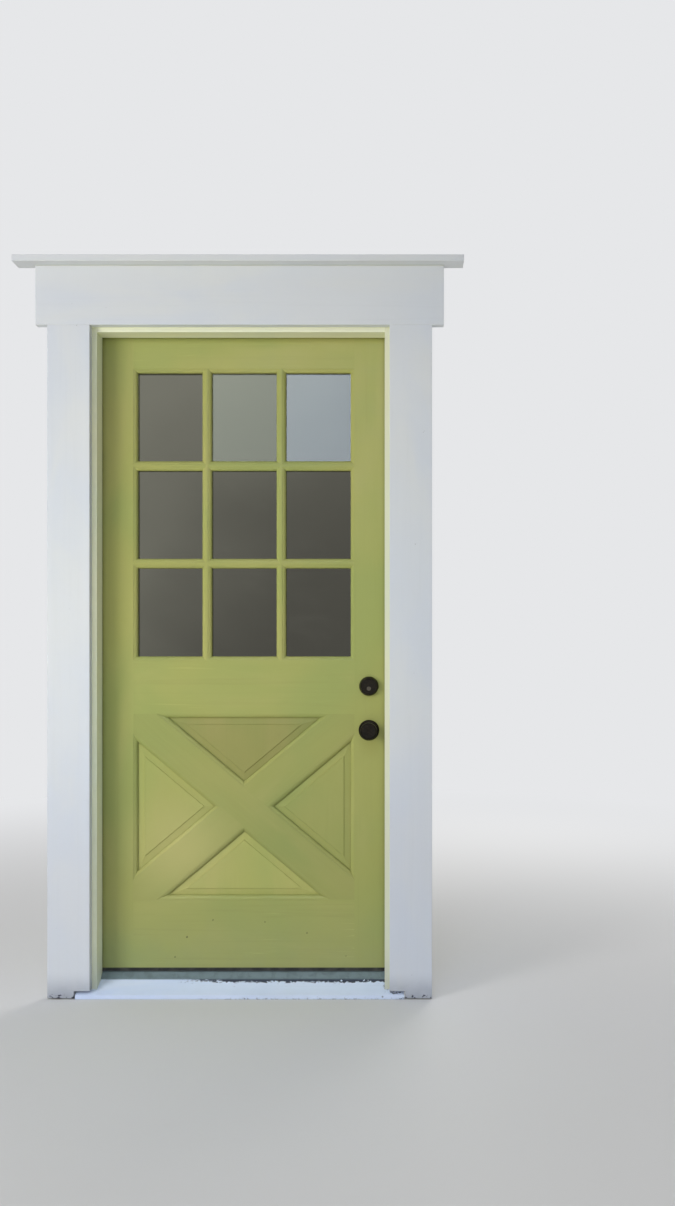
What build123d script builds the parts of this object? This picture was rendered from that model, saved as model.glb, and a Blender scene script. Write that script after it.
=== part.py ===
from build123d import *
import os
from math import atan2, cos, hypot, radians, sin, tan

# Half-glazed crossbuck entry door with its frame, in millimetres.
# X runs to the right seen from outside, Y runs inwards through the wall, and Z runs up.
# The origin lies on the sill's underside, midway between the jambs, in the plane of the wall's outer face.

os.makedirs("parts", exist_ok=True)

# Leaf: stiles, rails and the two crossing braces
leaf_width = 914.0
leaf_height = 2007.0
leaf_thickness = 44.5
stile_width = 106.0
top_rail_height = 104.5
lock_rail_height = 170.5
bottom_rail_height = 216.0
crossbuck_height = 589.5
brace_width = 97.0

# Moulded edge that frames every opening of the leaf
sticking_width = 12.0
sticking_drop = 9.0
sticking_start_angle = 3.0
quirk = 1.5
groove_width = 8.0
groove_depth = 10.0

# Raised triangular panels
panel_edge_clearance = 1.0
panel_face_clearance = 0.2
panel_lip = 0.3
panel_bevel_drop = 12.5
panel_margin = 32.5
panel_step = 2.5
panel_step_run = 2.0
panel_field_drop = 7.5

# Divided glazing
lites_across = 3
lites_down = 3
muntin_face = 6.0
glass_thickness = 4.0
glass_edge_clearance = 1.5
bead_round = 7.0
bead_mitre_angle = 45.0
bead_mitre_gap = 0.3

# Frame that the leaf hangs in
door_gap = 3.0
jamb_thickness = 32.0
jamb_depth = 116.0
rabbet_depth = 12.5
leaf_setback = 1.5
weatherstrip_gap = 9.0
weatherstrip_width = 10.0
weatherstrip_round = 3.5
seal_clearance = 0.3
edge_round = 1.5

# Casings and the cap over them
casing_width = 131.0
casing_thickness = 26.0
casing_reveal = 15.0
casing_foot_gap = 3.0
head_casing_height = 184.0
head_casing_overhang = 36.5
cap_thickness = 19.5
cap_overhang = 60.0
cap_projection = 37.0

# Sill and threshold
sill_front_height = 13.0
sill_back_height = 38.0
sill_slope_run = 72.0
sill_horn_length = 28.5
drip_groove_setback = 9.0
drip_groove_width = 6.0
drip_groove_depth = 4.0
threshold_height = 18.0
threshold_nose = 16.0
threshold_toe = 3.0
threshold_wall = 3.0
threshold_pockets = 2
leaf_ground_gap = 12.0
sweep_inset = 3.0
sweep_carrier = 4.0
sweep_fin = 3.0
sweep_fins = 3

# Butt hinges
hinge_height = 102.0
hinge_reach = 45.0
hinge_plate = 2.4
hinge_corner = 16.0
hinge_knuckles = 5
knuckle_radius = 6.0
knuckle_gap = 0.3
pin_radius = 3.0
pin_clearance = 0.05
pin_head_radius = 4.5
pin_head_height = 3.0
pin_head_taper = 10.0
knuckle_stand_off = 0.5
top_hinge_margin = 178.0
bottom_hinge_margin = 280.0
mortise_clearance = 0.15
hinge_screws = ((19.0, 38.0), (34.0, 15.0), (34.0, -15.0), (19.0, -38.0))

# Wood screws
screw_head_radius = 4.2
screw_shank_radius = 2.1
screw_length = 16.0
screw_clearance = 0.05
screw_angle = 82.0

# Knob set, latch and deadbolt
backset = 60.0
knob_height = 754.0
lock_spacing = 139.7
plug_drop = 7.0
cross_bore_radius = 27.0
edge_bore_radius = 12.7
faceplate_height = 57.0
faceplate_width = 25.4
faceplate_thickness = 2.4
faceplate_corner = 6.0
faceplate_screw_spacing = 42.0
case_clearance = 0.3
rose_radius = 32.7
rose_thickness = 9.0
rose_rim = 2.7
rose_shoulder_radius = 27.8
rose_shoulder = 6.8
rose_crown_radius = 19.6
knob_radius = 26.5
knob_projection = 57.0
knob_shank_radius = 12.0
knob_neck = 22.0
knob_flare_radius = 16.0
knob_flare_height = 36.0
knob_rim = 6.0
knob_edge_round = 7.0
knob_tail = 3.0
running_clearance = 0.05
spindle_size = 7.0
spindle_clearance = 0.25
spindle_grip = 11.0
tailpiece_thickness = 3.0
tailpiece_width = 7.0
tailpiece_grip = 9.0
collar_radius = 30.7
collar_rim = 2.0
collar_edge = 1.0
collar_front_radius = 25.5
collar_projection = 17.0
collar_groove_radius = 19.0
collar_groove_width = 1.2
collar_groove_depth = 2.0
plug_radius = 6.4
keyway_height = 9.0
keyway_width = 2.6
keyway_depth = 6.0
cylinder_body_radius = 17.0
cylinder_body_length = 14.0
thumb_hub_radius = 8.0
thumb_hub_tail = 12.0
thumb_stand_off = 1.0
thumb_length = 36.0
thumb_width = 9.0
thumb_projection = 22.0
thumb_taper = 4.0
inner_rose_thickness = 8.0
inner_rose_rim = 2.8
inner_rose_crown_radius = 26.0
deadbolt_tip_chamfer = 1.0
bolt_width = 14.0
bolt_height = 17.0
bolt_clearance = 0.3
latch_throw = 12.0
latch_turn = 60.0
latch_bevel = 9.0
latch_nose = 3.5
deadbolt_throw = 25.4
deadbolt_turn = 90.0
bolt_tip_setback = 0.3
tail_thickness = 2.5
tail_clearance = 0.5
yoke_wall = 3.0
spindle_reach = 5.5
crank_thickness = 2.5
crank_pin_radius = 2.0
crank_pin_wall = 1.5
crank_boss_radius = 5.2
crank_slack = 0.9
case_overlap = 2.0
strap_thickness = 1.5
strap_height = 22.0
strap_tail = 9.0
strike_plate = 2.0
strike_height = 70.0
strike_width = 28.6
latch_strike_height = 57.0
strike_lip_height = 32.0
strike_lip_radius = 5.0
strike_lip_angle = 60.0
strike_lip_stand_off = 0.5
strike_hole_clearance = 1.5
strike_screw_spacing = 54.0
latch_strike_screw_spacing = 42.0
strike_corner = 5.0

# Places that follow from the sizes above
leaf_inner_y = jamb_depth - leaf_setback
leaf_outer_y = leaf_inner_y - leaf_thickness
leaf_middle_y = leaf_outer_y + leaf_thickness / 2
stop_y = leaf_outer_y - weatherstrip_gap
half_leaf = leaf_width / 2
rabbet_x = half_leaf + door_gap
stop_x = rabbet_x - rabbet_depth
jamb_outer_x = stop_x + jamb_thickness
casing_inner_x = stop_x + casing_reveal
casing_outer_x = casing_inner_x + casing_width

threshold_top = sill_back_height + threshold_height
leaf_bottom = threshold_top + leaf_ground_gap
leaf_top = leaf_bottom + leaf_height
head_rabbet_z = leaf_top + door_gap
head_stop_z = head_rabbet_z - rabbet_depth
frame_top = head_stop_z + jamb_thickness
head_casing_z = head_stop_z + casing_reveal
cap_z = head_casing_z + head_casing_height
sill_slope_end = sill_slope_run - casing_thickness
sill_half_length = jamb_outer_x + sill_horn_length

panel_zone_bottom = leaf_bottom + bottom_rail_height
panel_zone_top = panel_zone_bottom + crossbuck_height
glass_zone_bottom = panel_zone_top + lock_rail_height
glass_zone_top = leaf_top - top_rail_height
half_opening = half_leaf - stile_width
crossbuck_middle = (panel_zone_bottom + panel_zone_top) / 2

groove_front = (leaf_thickness - groove_width) / 2
groove_back = groove_front + groove_width
groove_floor = sticking_width - groove_depth

hinge_axis_x = -half_leaf - door_gap / 2
hinge_axis_y = jamb_depth + knuckle_stand_off + knuckle_radius
top_hinge_z = leaf_top - top_hinge_margin - hinge_height / 2
bottom_hinge_z = leaf_bottom + bottom_hinge_margin + hinge_height / 2
hinge_heights = {
    "top": top_hinge_z,
    "middle": (top_hinge_z + bottom_hinge_z) / 2,
    "bottom": bottom_hinge_z,
}

lock_x = half_leaf - backset
knob_z = leaf_bottom + knob_height
collar_z = knob_z + lock_spacing
plug_z = collar_z - plug_drop
bolt_tip_x = half_leaf - bolt_tip_setback
bolt_back_x = lock_x + cross_bore_radius + tail_clearance


def save(piece, name):
    """Labels a finished piece and writes it."""
    piece.part.label = name
    export_step(piece.part, f"parts/{name}.step")


def add_block(low, high, mode=Mode.ADD):
    """Adds or cuts a block between two corners."""
    with Locations(tuple((a + b) / 2 for a, b in zip(low, high))):
        Box(*[b - a for a, b in zip(low, high)], mode=mode)


# Profiles of the leaf's members. A member lies along its own axis, its outer face at depth 0,
# and each long edge is plain, moulded for a panel or moulded for glass.

def draw_ovolo(at, side_depth, inward):
    """Draws one quirked ovolo from the member's face down to its nose."""
    start = (0.0, side_depth + inward * quirk)
    end = (sticking_width, side_depth + inward * sticking_drop)
    run = (end[0] - start[0], abs(end[1] - start[1]))
    length = hypot(*run)
    turn = atan2(run[1], run[0]) - radians(sticking_start_angle)
    bulge = length / 2 * tan(turn / 2)
    middle = (
        (start[0] + end[0]) / 2 + bulge * run[1] / length,
        (start[1] + end[1]) / 2 - inward * bulge * run[0] / length,
    )
    Line(at(0.0, side_depth), at(*start))
    ThreePointArc(at(*start), at(*middle), at(*end))


def draw_edge(at, kind):
    """Draws one long edge of a member, where at(out, depth) gives a point of the sketch."""
    if kind == "plain":
        Line(at(0, 0), at(0, leaf_thickness))
        return
    draw_ovolo(at, 0.0, 1)
    if kind == "panel":
        Polyline(
            at(sticking_width, sticking_drop),
            at(sticking_width, groove_front),
            at(groove_floor, groove_front),
            at(groove_floor, groove_back),
            at(sticking_width, groove_back),
            at(sticking_width, leaf_thickness - sticking_drop),
        )
        draw_ovolo(at, leaf_thickness, -1)
    else:
        Polyline(
            at(sticking_width, sticking_drop),
            at(sticking_width, groove_front),
            at(groove_floor, groove_front),
            at(groove_floor, leaf_thickness),
        )


def draw_member(width, low_kind, high_kind):
    """Draws the closed section of a member that is `width` wide across its face."""
    def low(out, depth):
        return (depth, -width / 2 - out)

    def high(out, depth):
        return (depth, width / 2 + out)

    back_out = {"plain": 0.0, "panel": 0.0, "glass": groove_floor}
    with BuildLine() as outline:
        draw_edge(low, low_kind)
        draw_edge(high, high_kind)
        Line(low(0, 0), high(0, 0))
        Line(low(back_out[low_kind], leaf_thickness), high(back_out[high_kind], leaf_thickness))
    make_face(outline.line)


def member_plane(start, direction):
    """Plane across a member: its first axis runs into the leaf, its normal along the member."""
    return Plane(origin=start, x_dir=(0, 1, 0), z_dir=direction)


def add_stile(side):
    """Adds the stile at the hinges (-1) or at the lock (1), rabbeted on the inside beside the glass."""
    kinds = ("panel", "plain") if side < 0 else ("plain", "panel")
    nose = sorted([side * (half_opening - groove_floor), side * (half_opening - sticking_width)])
    start = (side * (half_leaf - stile_width / 2), leaf_outer_y, leaf_bottom)
    with BuildSketch(member_plane(start, (0, 0, 1))) as section:
        draw_member(stile_width, *kinds)
    extrude(section.sketch, amount=leaf_height)
    add_block(
        (nose[0], leaf_outer_y + groove_front, glass_zone_bottom + groove_floor),
        (nose[1], leaf_inner_y, glass_zone_top - groove_floor),
        Mode.SUBTRACT,
    )


def make_rail(bottom, height, low_kind, high_kind, stiles):
    """A rail between the stiles, its ends coped over their moulded edges."""
    with BuildPart() as rail:
        with BuildSketch(member_plane((-half_opening, leaf_outer_y, bottom + height / 2), (1, 0, 0))):
            draw_member(height, low_kind, high_kind)
        extrude(amount=2 * half_opening)
        for stile in stiles:
            add(stile.part, mode=Mode.SUBTRACT)
    return rail


# Hinges: one outline serves the plates and their mortises

def hinge_plane(side, height):
    """Plane on the wood face that a hinge plate sinks into; its first axis runs away from the pin."""
    origin = (hinge_axis_x + side * door_gap / 2, hinge_axis_y, height)
    return Plane(origin=origin, x_dir=(0, -1, 0), z_dir=(-1, 0, 0))


def draw_hinge_outline(extra):
    """Draws the plate's outline, grown by `extra`, with its two far corners rounded."""
    near = knuckle_radius + knuckle_gap
    far = hinge_reach + extra
    with Locations(((near + far) / 2, 0)):
        Rectangle(far - near, hinge_height + 2 * extra)
    fillet(vertices().group_by(Axis.X)[-1], radius=hinge_corner)


def hinge_screw_planes(side, height):
    """Planes of the screw heads in one hinge plate, each facing out of the wood."""
    return [
        Plane(
            origin=(hinge_axis_x + side * door_gap / 2, hinge_axis_y - away, height + up),
            z_dir=(-side, 0, 0),
        )
        for away, up in hinge_screws
    ]


def cut_hinge_mortise(side, height):
    """Cuts the mortise of one hinge plate, with its pilot holes."""
    with BuildSketch(hinge_plane(side, height)) as outline:
        draw_hinge_outline(mortise_clearance)
    extrude(outline.sketch, amount=-side * hinge_plate, mode=Mode.SUBTRACT)
    for plane in hinge_screw_planes(side, height):
        cut_screw_hole(plane, screw_length + screw_clearance)


def cut_screw_hole(plane, depth):
    """Cuts a countersunk screw hole, to a depth below the plane of the screw's head."""
    with Locations(plane):
        CounterSinkHole(
            radius=screw_shank_radius + screw_clearance,
            counter_sink_radius=screw_head_radius + screw_clearance,
            depth=depth,
            counter_sink_angle=screw_angle,
        )


def add_screw(plane):
    """Adds one countersunk wood screw whose head is flush with the plane."""
    head_depth = (screw_head_radius - screw_shank_radius) / tan(radians(screw_angle / 2))
    # The first axis of this plane is a radius and the second runs down the screw.
    with BuildSketch(Plane(origin=plane.origin, x_dir=plane.x_dir, z_dir=plane.y_dir)) as section:
        with BuildLine():
            Polyline(
                (0, 0),
                (screw_head_radius, 0),
                (screw_shank_radius, head_depth),
                (screw_shank_radius, screw_length),
                (0, screw_length),
                close=True,
            )
        make_face()
    revolve(section.sketch, axis=Axis(plane.origin, plane.z_dir))


def knuckle_spans(owner_parity, height):
    """Low and high ends of the knuckles that one hinge leaf carries; parity 0 is the jamb's."""
    pitch = hinge_height / hinge_knuckles
    bottom = height - hinge_height / 2
    return [
        (bottom + index * pitch + knuckle_gap / 2, bottom + (index + 1) * pitch - knuckle_gap / 2)
        for index in range(owner_parity, hinge_knuckles, 2)
    ]


def make_hinge_leaf(side, height):
    """One leaf of a butt hinge: a plate with rounded corners and its share of the knuckles."""
    plate = sorted([side * door_gap / 2, side * (door_gap / 2 + hinge_plate)])
    with BuildPart() as hinge_leaf:
        with BuildSketch(hinge_plane(side, height)):
            draw_hinge_outline(0.0)
        extrude(amount=-side * hinge_plate)
        for low, high in knuckle_spans(0 if side < 0 else 1, height):
            add_block(
                (hinge_axis_x + plate[0], hinge_axis_y - knuckle_radius - knuckle_gap, low),
                (hinge_axis_x + plate[1], hinge_axis_y, high),
            )
            with BuildSketch(Plane.XY.offset(low)):
                with Locations((hinge_axis_x, hinge_axis_y)):
                    Circle(knuckle_radius)
            extrude(amount=high - low)
        with BuildSketch(Plane.XY.offset(height - hinge_height / 2)):
            with Locations((hinge_axis_x, hinge_axis_y)):
                Circle(pin_radius + pin_clearance)
        extrude(amount=hinge_height, mode=Mode.SUBTRACT)
        for plane in hinge_screw_planes(side, height):
            cut_screw_hole(plane, hinge_plate)
    return hinge_leaf


# Locks: planes, bores and the crank that drives each bolt

def face_plane(side, x, z):
    """Plane on the leaf's outer (-1) or inner (1) face, facing away from the leaf."""
    y = leaf_outer_y if side < 0 else leaf_inner_y
    return Plane(origin=(x, y, z), x_dir=(-side, 0, 0), z_dir=(0, side, 0))


def revolve_outline(side, x, z, points):
    """Revolves an outline of (radius, distance from the face) points about a line along Y."""
    base = leaf_outer_y if side < 0 else leaf_inner_y
    with BuildSketch(Plane(origin=(x, base, z), x_dir=(1, 0, 0), z_dir=(0, 0, side))) as section:
        with BuildLine():
            Polyline(*points, close=True)
        make_face()
    revolve(section.sketch, axis=Axis((x, base, z), (0, side, 0)))


def edge_screw_planes(z, spacing, x, facing):
    """Head planes of the two screws of a plate on the lock edge or on the jamb."""
    return [
        Plane(origin=(x, leaf_middle_y, z + sign * spacing / 2), z_dir=(facing, 0, 0))
        for sign in (-1, 1)
    ]


def cut_lock_bores(cross_z, bolt_z):
    """Cuts the cross bore, the edge bore and the faceplate's mortise for one lock."""
    with BuildSketch(Plane.XZ.offset(-leaf_outer_y)) as cross_bore:
        with Locations((lock_x, cross_z)):
            Circle(cross_bore_radius)
    extrude(cross_bore.sketch, amount=-leaf_thickness, mode=Mode.SUBTRACT)
    with BuildSketch(Plane.YZ.offset(lock_x)) as edge_bore:
        with Locations((leaf_middle_y, bolt_z)):
            Circle(edge_bore_radius)
    extrude(edge_bore.sketch, amount=backset, mode=Mode.SUBTRACT)
    with BuildSketch(Plane.YZ.offset(half_leaf)) as mortise:
        with Locations((leaf_middle_y, bolt_z)):
            RectangleRounded(
                faceplate_width + 2 * mortise_clearance,
                faceplate_height + 2 * mortise_clearance,
                faceplate_corner,
            )
    extrude(mortise.sketch, amount=-faceplate_thickness, mode=Mode.SUBTRACT)
    for plane in edge_screw_planes(bolt_z, faceplate_screw_spacing, half_leaf, 1):
        cut_screw_hole(plane, screw_length + screw_clearance)


def crank_radius(throw, turn):
    """Radius at which a crank pin moves a bolt by its throw over its turn."""
    return throw / (2 * sin(radians(turn / 2)))


def crank_pin_place(z, throw, turn):
    """Where the crank pin stands with the bolt drawn back."""
    radius = crank_radius(throw, turn)
    angle = radians(turn / 2)
    return (lock_x - radius * sin(angle), z + radius * cos(angle))


def add_crank(z, throw, turn):
    """Adds a crank arm with its pin to a spindle that turns about the lock's axis at height z."""
    arm_y = leaf_middle_y + tail_thickness / 2 + tail_clearance
    pin_end_y = leaf_middle_y - tail_thickness / 2 - tail_clearance
    pin_place = crank_pin_place(z, throw, turn)
    with BuildSketch(Plane.XZ.offset(-arm_y - crank_thickness)) as arm:
        with Locations((lock_x, z)):
            Circle(crank_boss_radius)
        with Locations(pin_place):
            Circle(crank_pin_radius + crank_pin_wall)
        make_hull()
    extrude(arm.sketch, amount=crank_thickness)
    with BuildSketch(Plane.XZ.offset(-arm_y)) as pin:
        with Locations(pin_place):
            Circle(crank_pin_radius)
    extrude(pin.sketch, amount=arm_y - pin_end_y)


def make_bolt_case(z):
    """A bolt's case: faceplate, tube in the edge bore and a strap that steadies the spindle."""
    tube_back = lock_x + cross_bore_radius - case_overlap
    strap_y = leaf_middle_y + tail_thickness / 2 + crank_thickness + 2 * tail_clearance
    spindle_hole_radius = hypot(spindle_size, spindle_size) / 2 + spindle_clearance
    with BuildPart() as case:
        with BuildSketch(Plane.YZ.offset(half_leaf)):
            with Locations((leaf_middle_y, z)):
                RectangleRounded(faceplate_width, faceplate_height, faceplate_corner)
        extrude(amount=-faceplate_thickness)
        with BuildSketch(Plane.YZ.offset(tube_back)):
            with Locations((leaf_middle_y, z)):
                Circle(edge_bore_radius - case_clearance)
        extrude(amount=half_leaf - faceplate_thickness - tube_back)
        with BuildSketch(Plane.YZ.offset(tube_back)):
            with Locations((leaf_middle_y, z)):
                Rectangle(bolt_width + 2 * bolt_clearance, bolt_height + 2 * bolt_clearance)
        extrude(amount=half_leaf - tube_back, mode=Mode.SUBTRACT)
        add_block(
            (lock_x - strap_tail, strap_y, z - strap_height / 2),
            (tube_back + case_overlap, strap_y + strap_thickness, z + strap_height / 2),
        )
        with BuildSketch(Plane.XZ.offset(-strap_y - strap_thickness)):
            with Locations((lock_x, z)):
                Circle(spindle_hole_radius)
        extrude(amount=strap_thickness, mode=Mode.SUBTRACT)
        for plane in edge_screw_planes(z, faceplate_screw_spacing, half_leaf, 1):
            cut_screw_hole(plane, faceplate_thickness)
    return case


def add_bolt_tail(z, throw, turn):
    """Adds a bolt's tail: a neck behind its head and a yoke whose slot takes the crank pin."""
    pin_x, pin_z = crank_pin_place(z, throw, turn)
    slot_half = crank_pin_radius + crank_slack
    yoke_half = slot_half + yoke_wall
    slot_low = pin_z - crank_pin_radius - tail_clearance
    slot_high = z + crank_radius(throw, turn) + crank_pin_radius + tail_clearance
    low_y = leaf_middle_y - tail_thickness / 2
    high_y = leaf_middle_y + tail_thickness / 2
    neck_low = z + spindle_reach
    add_block((pin_x - yoke_half, low_y, neck_low), (bolt_back_x, high_y, z + bolt_height / 2))
    add_block(
        (pin_x - yoke_half, low_y, neck_low),
        (pin_x + yoke_half, high_y, slot_high + yoke_wall),
    )
    add_block(
        (pin_x - slot_half, low_y, slot_low),
        (pin_x + slot_half, high_y, slot_high),
        Mode.SUBTRACT,
    )


# Stiles and rails

with BuildPart() as hinge_stile:
    add_stile(-1)
    for height in hinge_heights.values():
        cut_hinge_mortise(1, height)
save(hinge_stile, "hinge_stile")

with BuildPart() as lock_stile:
    add_stile(1)
    cut_lock_bores(knob_z, knob_z)
    cut_lock_bores(collar_z, plug_z)
save(lock_stile, "lock_stile")
stiles = (hinge_stile, lock_stile)

bottom_rail = make_rail(leaf_bottom, bottom_rail_height, "plain", "panel", stiles)
save(bottom_rail, "bottom_rail")
lock_rail = make_rail(panel_zone_top, lock_rail_height, "panel", "glass", stiles)
save(lock_rail, "lock_rail")
top_rail = make_rail(glass_zone_top, top_rail_height, "glass", "plain", stiles)
save(top_rail, "top_rail")

# Crossbuck: one brace runs through, the other is two halves coped against it

half_height = crossbuck_height / 2
half_diagonal = hypot(half_opening, half_height)


def make_brace(start_share, direction, neighbours):
    """A brace along a diagonal of the lower opening, from start_share half diagonals off centre."""
    unit = (direction[0] * half_opening / half_diagonal, 0, direction[1] * half_height / half_diagonal)
    reach = half_diagonal + brace_width
    start = (
        start_share * reach * unit[0],
        leaf_outer_y,
        crossbuck_middle + start_share * reach * unit[2],
    )
    with BuildPart() as brace:
        with BuildSketch(member_plane(start, unit)):
            draw_member(brace_width, "panel", "panel")
        extrude(amount=reach * (1 - start_share))
        add_block(
            (-half_opening, leaf_outer_y - leaf_thickness, panel_zone_bottom),
            (half_opening, leaf_inner_y + leaf_thickness, panel_zone_top),
            Mode.INTERSECT,
        )
        for neighbour in neighbours:
            add(neighbour.part, mode=Mode.SUBTRACT)
    return brace


long_brace = make_brace(-1, (1, -1), (*stiles, bottom_rail, lock_rail))
save(long_brace, "long_brace")
upper_short_brace = make_brace(0, (1, 1), (lock_stile, lock_rail, long_brace))
save(upper_short_brace, "upper_short_brace")
lower_short_brace = make_brace(0, (-1, -1), (hinge_stile, bottom_rail, long_brace))
save(lower_short_brace, "lower_short_brace")

# Raised panels in the four triangles between the braces

apex_up = brace_width / 2 * half_diagonal / half_opening
apex_across = brace_width / 2 * half_diagonal / half_height
upright_triangle = (
    (-(half_opening - apex_across), half_height),
    (half_opening - apex_across, half_height),
    (0.0, apex_up),
)
side_triangle = (
    (half_opening, half_height - apex_up),
    (half_opening, -(half_height - apex_up)),
    (apex_across, 0.0),
)


def draw_triangle(corners, margin):
    """Draws a triangle set in by a margin from the corners of its opening."""
    with BuildLine() as outline:
        Polyline(*corners, close=True)
    make_face(outline.line)
    offset(amount=-margin, kind=Kind.INTERSECTION)


def make_panel(corners):
    """A raised panel: a tongue in the grooves, a low bevel inside the moulding and a stepped field."""
    tongue_depth = groove_front + panel_face_clearance
    tongue_edge = groove_floor + panel_edge_clearance
    bevel_edge = sticking_width + panel_lip
    step_foot = panel_field_drop + panel_step
    # Each layer runs between two outlines, given as depth below the face and margin from the opening.
    layers = (
        ((leaf_thickness / 2, tongue_edge), (tongue_depth, tongue_edge)),
        ((tongue_depth, bevel_edge), (panel_bevel_drop, bevel_edge)),
        ((panel_bevel_drop, bevel_edge), (step_foot, panel_margin)),
        ((step_foot, panel_margin), (panel_field_drop, panel_margin + panel_step_run)),
    )
    with BuildPart() as panel:
        for side in (-1, 1):
            local = [(-side * x, z) for x, z in corners]
            for layer in layers:
                for depth, margin in layer:
                    with BuildSketch(face_plane(side, 0, crossbuck_middle).offset(-depth)):
                        draw_triangle(local, margin)
                loft(ruled=True)
    return panel


panel_corners = {
    "top_panel": upright_triangle,
    "bottom_panel": [(x, -z) for x, z in upright_triangle],
    "lock_side_panel": side_triangle,
    "hinge_side_panel": [(-x, z) for x, z in side_triangle],
}
for name, corners in panel_corners.items():
    save(make_panel(corners), name)

# Muntins: the uprights run through and the cross pieces are coped between them

muntin_width = muntin_face + 2 * sticking_width
sight_width = (2 * (half_opening - sticking_width) - (lites_across - 1) * muntin_width) / lites_across
glass_zone_height = glass_zone_top - glass_zone_bottom
sight_height = (glass_zone_height - 2 * sticking_width - (lites_down - 1) * muntin_width) / lites_down
lite_centres_x = [
    -half_opening + sticking_width + sight_width / 2 + column * (sight_width + muntin_width)
    for column in range(lites_across)
]
lite_centres_z = [
    glass_zone_top - sticking_width - sight_height / 2 - row * (sight_height + muntin_width)
    for row in range(lites_down)
]

uprights = []
for number, centre_x in enumerate(lite_centres_x[:-1], start=1):
    with BuildPart() as upright_muntin:
        start = (centre_x + (sight_width + muntin_width) / 2, leaf_outer_y, glass_zone_bottom)
        with BuildSketch(member_plane(start, (0, 0, 1))):
            draw_member(muntin_face, "glass", "glass")
        extrude(amount=glass_zone_height)
        add(top_rail.part, mode=Mode.SUBTRACT)
        add(lock_rail.part, mode=Mode.SUBTRACT)
    save(upright_muntin, f"upright_muntin_{number}")
    uprights.append(upright_muntin)

with BuildPart() as cross_muntins:
    for centre_z in lite_centres_z[:-1]:
        start = (-half_opening, leaf_outer_y, centre_z - (sight_height + muntin_width) / 2)
        with BuildSketch(member_plane(start, (1, 0, 0))):
            draw_member(muntin_face, "glass", "glass")
        extrude(amount=2 * half_opening)
    for neighbour in (*stiles, *uprights):
        add(neighbour.part, mode=Mode.SUBTRACT)
save(cross_muntins, "cross_muntins")

# Panes bedded in the rabbets, and the mitred beads that hold them from the inside

pane_size = [size + 2 * (groove_depth - glass_edge_clearance) for size in (sight_width, sight_height)]
glass_y = leaf_outer_y + groove_front
bead_y = glass_y + glass_thickness
for row, centre_z in enumerate(lite_centres_z, start=1):
    for column, centre_x in enumerate(lite_centres_x, start=1):
        with BuildPart() as pane:
            with BuildSketch(Plane.XZ.offset(-glass_y)):
                with Locations((centre_x, centre_z)):
                    Rectangle(*pane_size)
            extrude(amount=-glass_thickness)
        save(pane, f"pane_{row}_{column}")

with BuildPart() as glazing_beads:
    for centre_z in lite_centres_z:
        for centre_x in lite_centres_x:
            with BuildSketch(Plane.XZ.offset(-bead_y)):
                with Locations((centre_x, centre_z)):
                    Rectangle(sight_width + 2 * groove_depth, sight_height + 2 * groove_depth)
                    Rectangle(sight_width, sight_height, mode=Mode.SUBTRACT)
            extrude(amount=bead_y - leaf_inner_y)
    sight_edges = [
        edge
        for edge in edges().group_by(Axis.Y)[-1]
        if min(abs(edge.center().X - x) for x in lite_centres_x) < sight_width / 2 + groove_depth / 2
        and min(abs(edge.center().Z - z) for z in lite_centres_z) < sight_height / 2 + groove_depth / 2
    ]
    fillet(sight_edges, radius=bead_round)
    for centre_z in lite_centres_z:
        for centre_x in lite_centres_x:
            for across in (-1, 1):
                for up in (-1, 1):
                    corner = (
                        centre_x + across * (sight_width + groove_depth) / 2,
                        (bead_y + leaf_inner_y) / 2,
                        centre_z + up * (sight_height + groove_depth) / 2,
                    )
                    with Locations(Location(corner, (0, -bead_mitre_angle * across * up, 0))):
                        Box(2 * groove_depth, leaf_thickness, bead_mitre_gap, mode=Mode.SUBTRACT)
save(glazing_beads, "glazing_beads")

# Sweep under the leaf

with BuildPart() as door_sweep:
    sweep_low_y = leaf_outer_y + sweep_inset
    sweep_high_y = leaf_inner_y - sweep_inset
    fin_pitch = (sweep_high_y - sweep_low_y - sweep_fin) / (sweep_fins - 1)
    add_block(
        (-half_leaf + sweep_inset, sweep_low_y, leaf_bottom - sweep_carrier),
        (half_leaf - sweep_inset, sweep_high_y, leaf_bottom),
    )
    for index in range(sweep_fins):
        fin_y = sweep_low_y + index * fin_pitch
        add_block(
            (-half_leaf + sweep_inset, fin_y, threshold_top + seal_clearance),
            (half_leaf - sweep_inset, fin_y + sweep_fin, leaf_bottom - sweep_carrier),
        )
save(door_sweep, "door_sweep")

# Sill with its horns, and the threshold on its flat

with BuildPart() as sill:
    with BuildSketch(Plane.YZ.offset(-sill_half_length)):
        with BuildLine():
            Polyline(
                (-casing_thickness, 0),
                (jamb_depth, 0),
                (jamb_depth, sill_back_height),
                (sill_slope_end, sill_back_height),
                (-casing_thickness, sill_front_height),
                close=True,
            )
        make_face()
        drip_groove_y = -casing_thickness + drip_groove_setback + drip_groove_width / 2
        with Locations((drip_groove_y, drip_groove_depth / 2)):
            Rectangle(drip_groove_width, drip_groove_depth, mode=Mode.SUBTRACT)
    extrude(amount=2 * sill_half_length)
    for side in (-1, 1):
        ends = sorted([side * jamb_outer_x, side * sill_half_length])
        add_block((ends[0], 0, 0), (ends[1], jamb_depth, sill_back_height), Mode.SUBTRACT)
save(sill, "sill")

# Jambs: rabbeted boards that stand on the sill, with the head housed between them


def draw_jamb_section(to_point):
    """Draws a rabbeted jamb's section, where to_point(across, y) gives a point of the sketch."""
    with BuildLine() as outline:
        Polyline(
            to_point(jamb_thickness, 0),
            to_point(0, 0),
            to_point(0, stop_y),
            to_point(rabbet_depth, stop_y),
            to_point(rabbet_depth, jamb_depth),
            to_point(jamb_thickness, jamb_depth),
            close=True,
        )
    make_face(outline.line)


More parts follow.
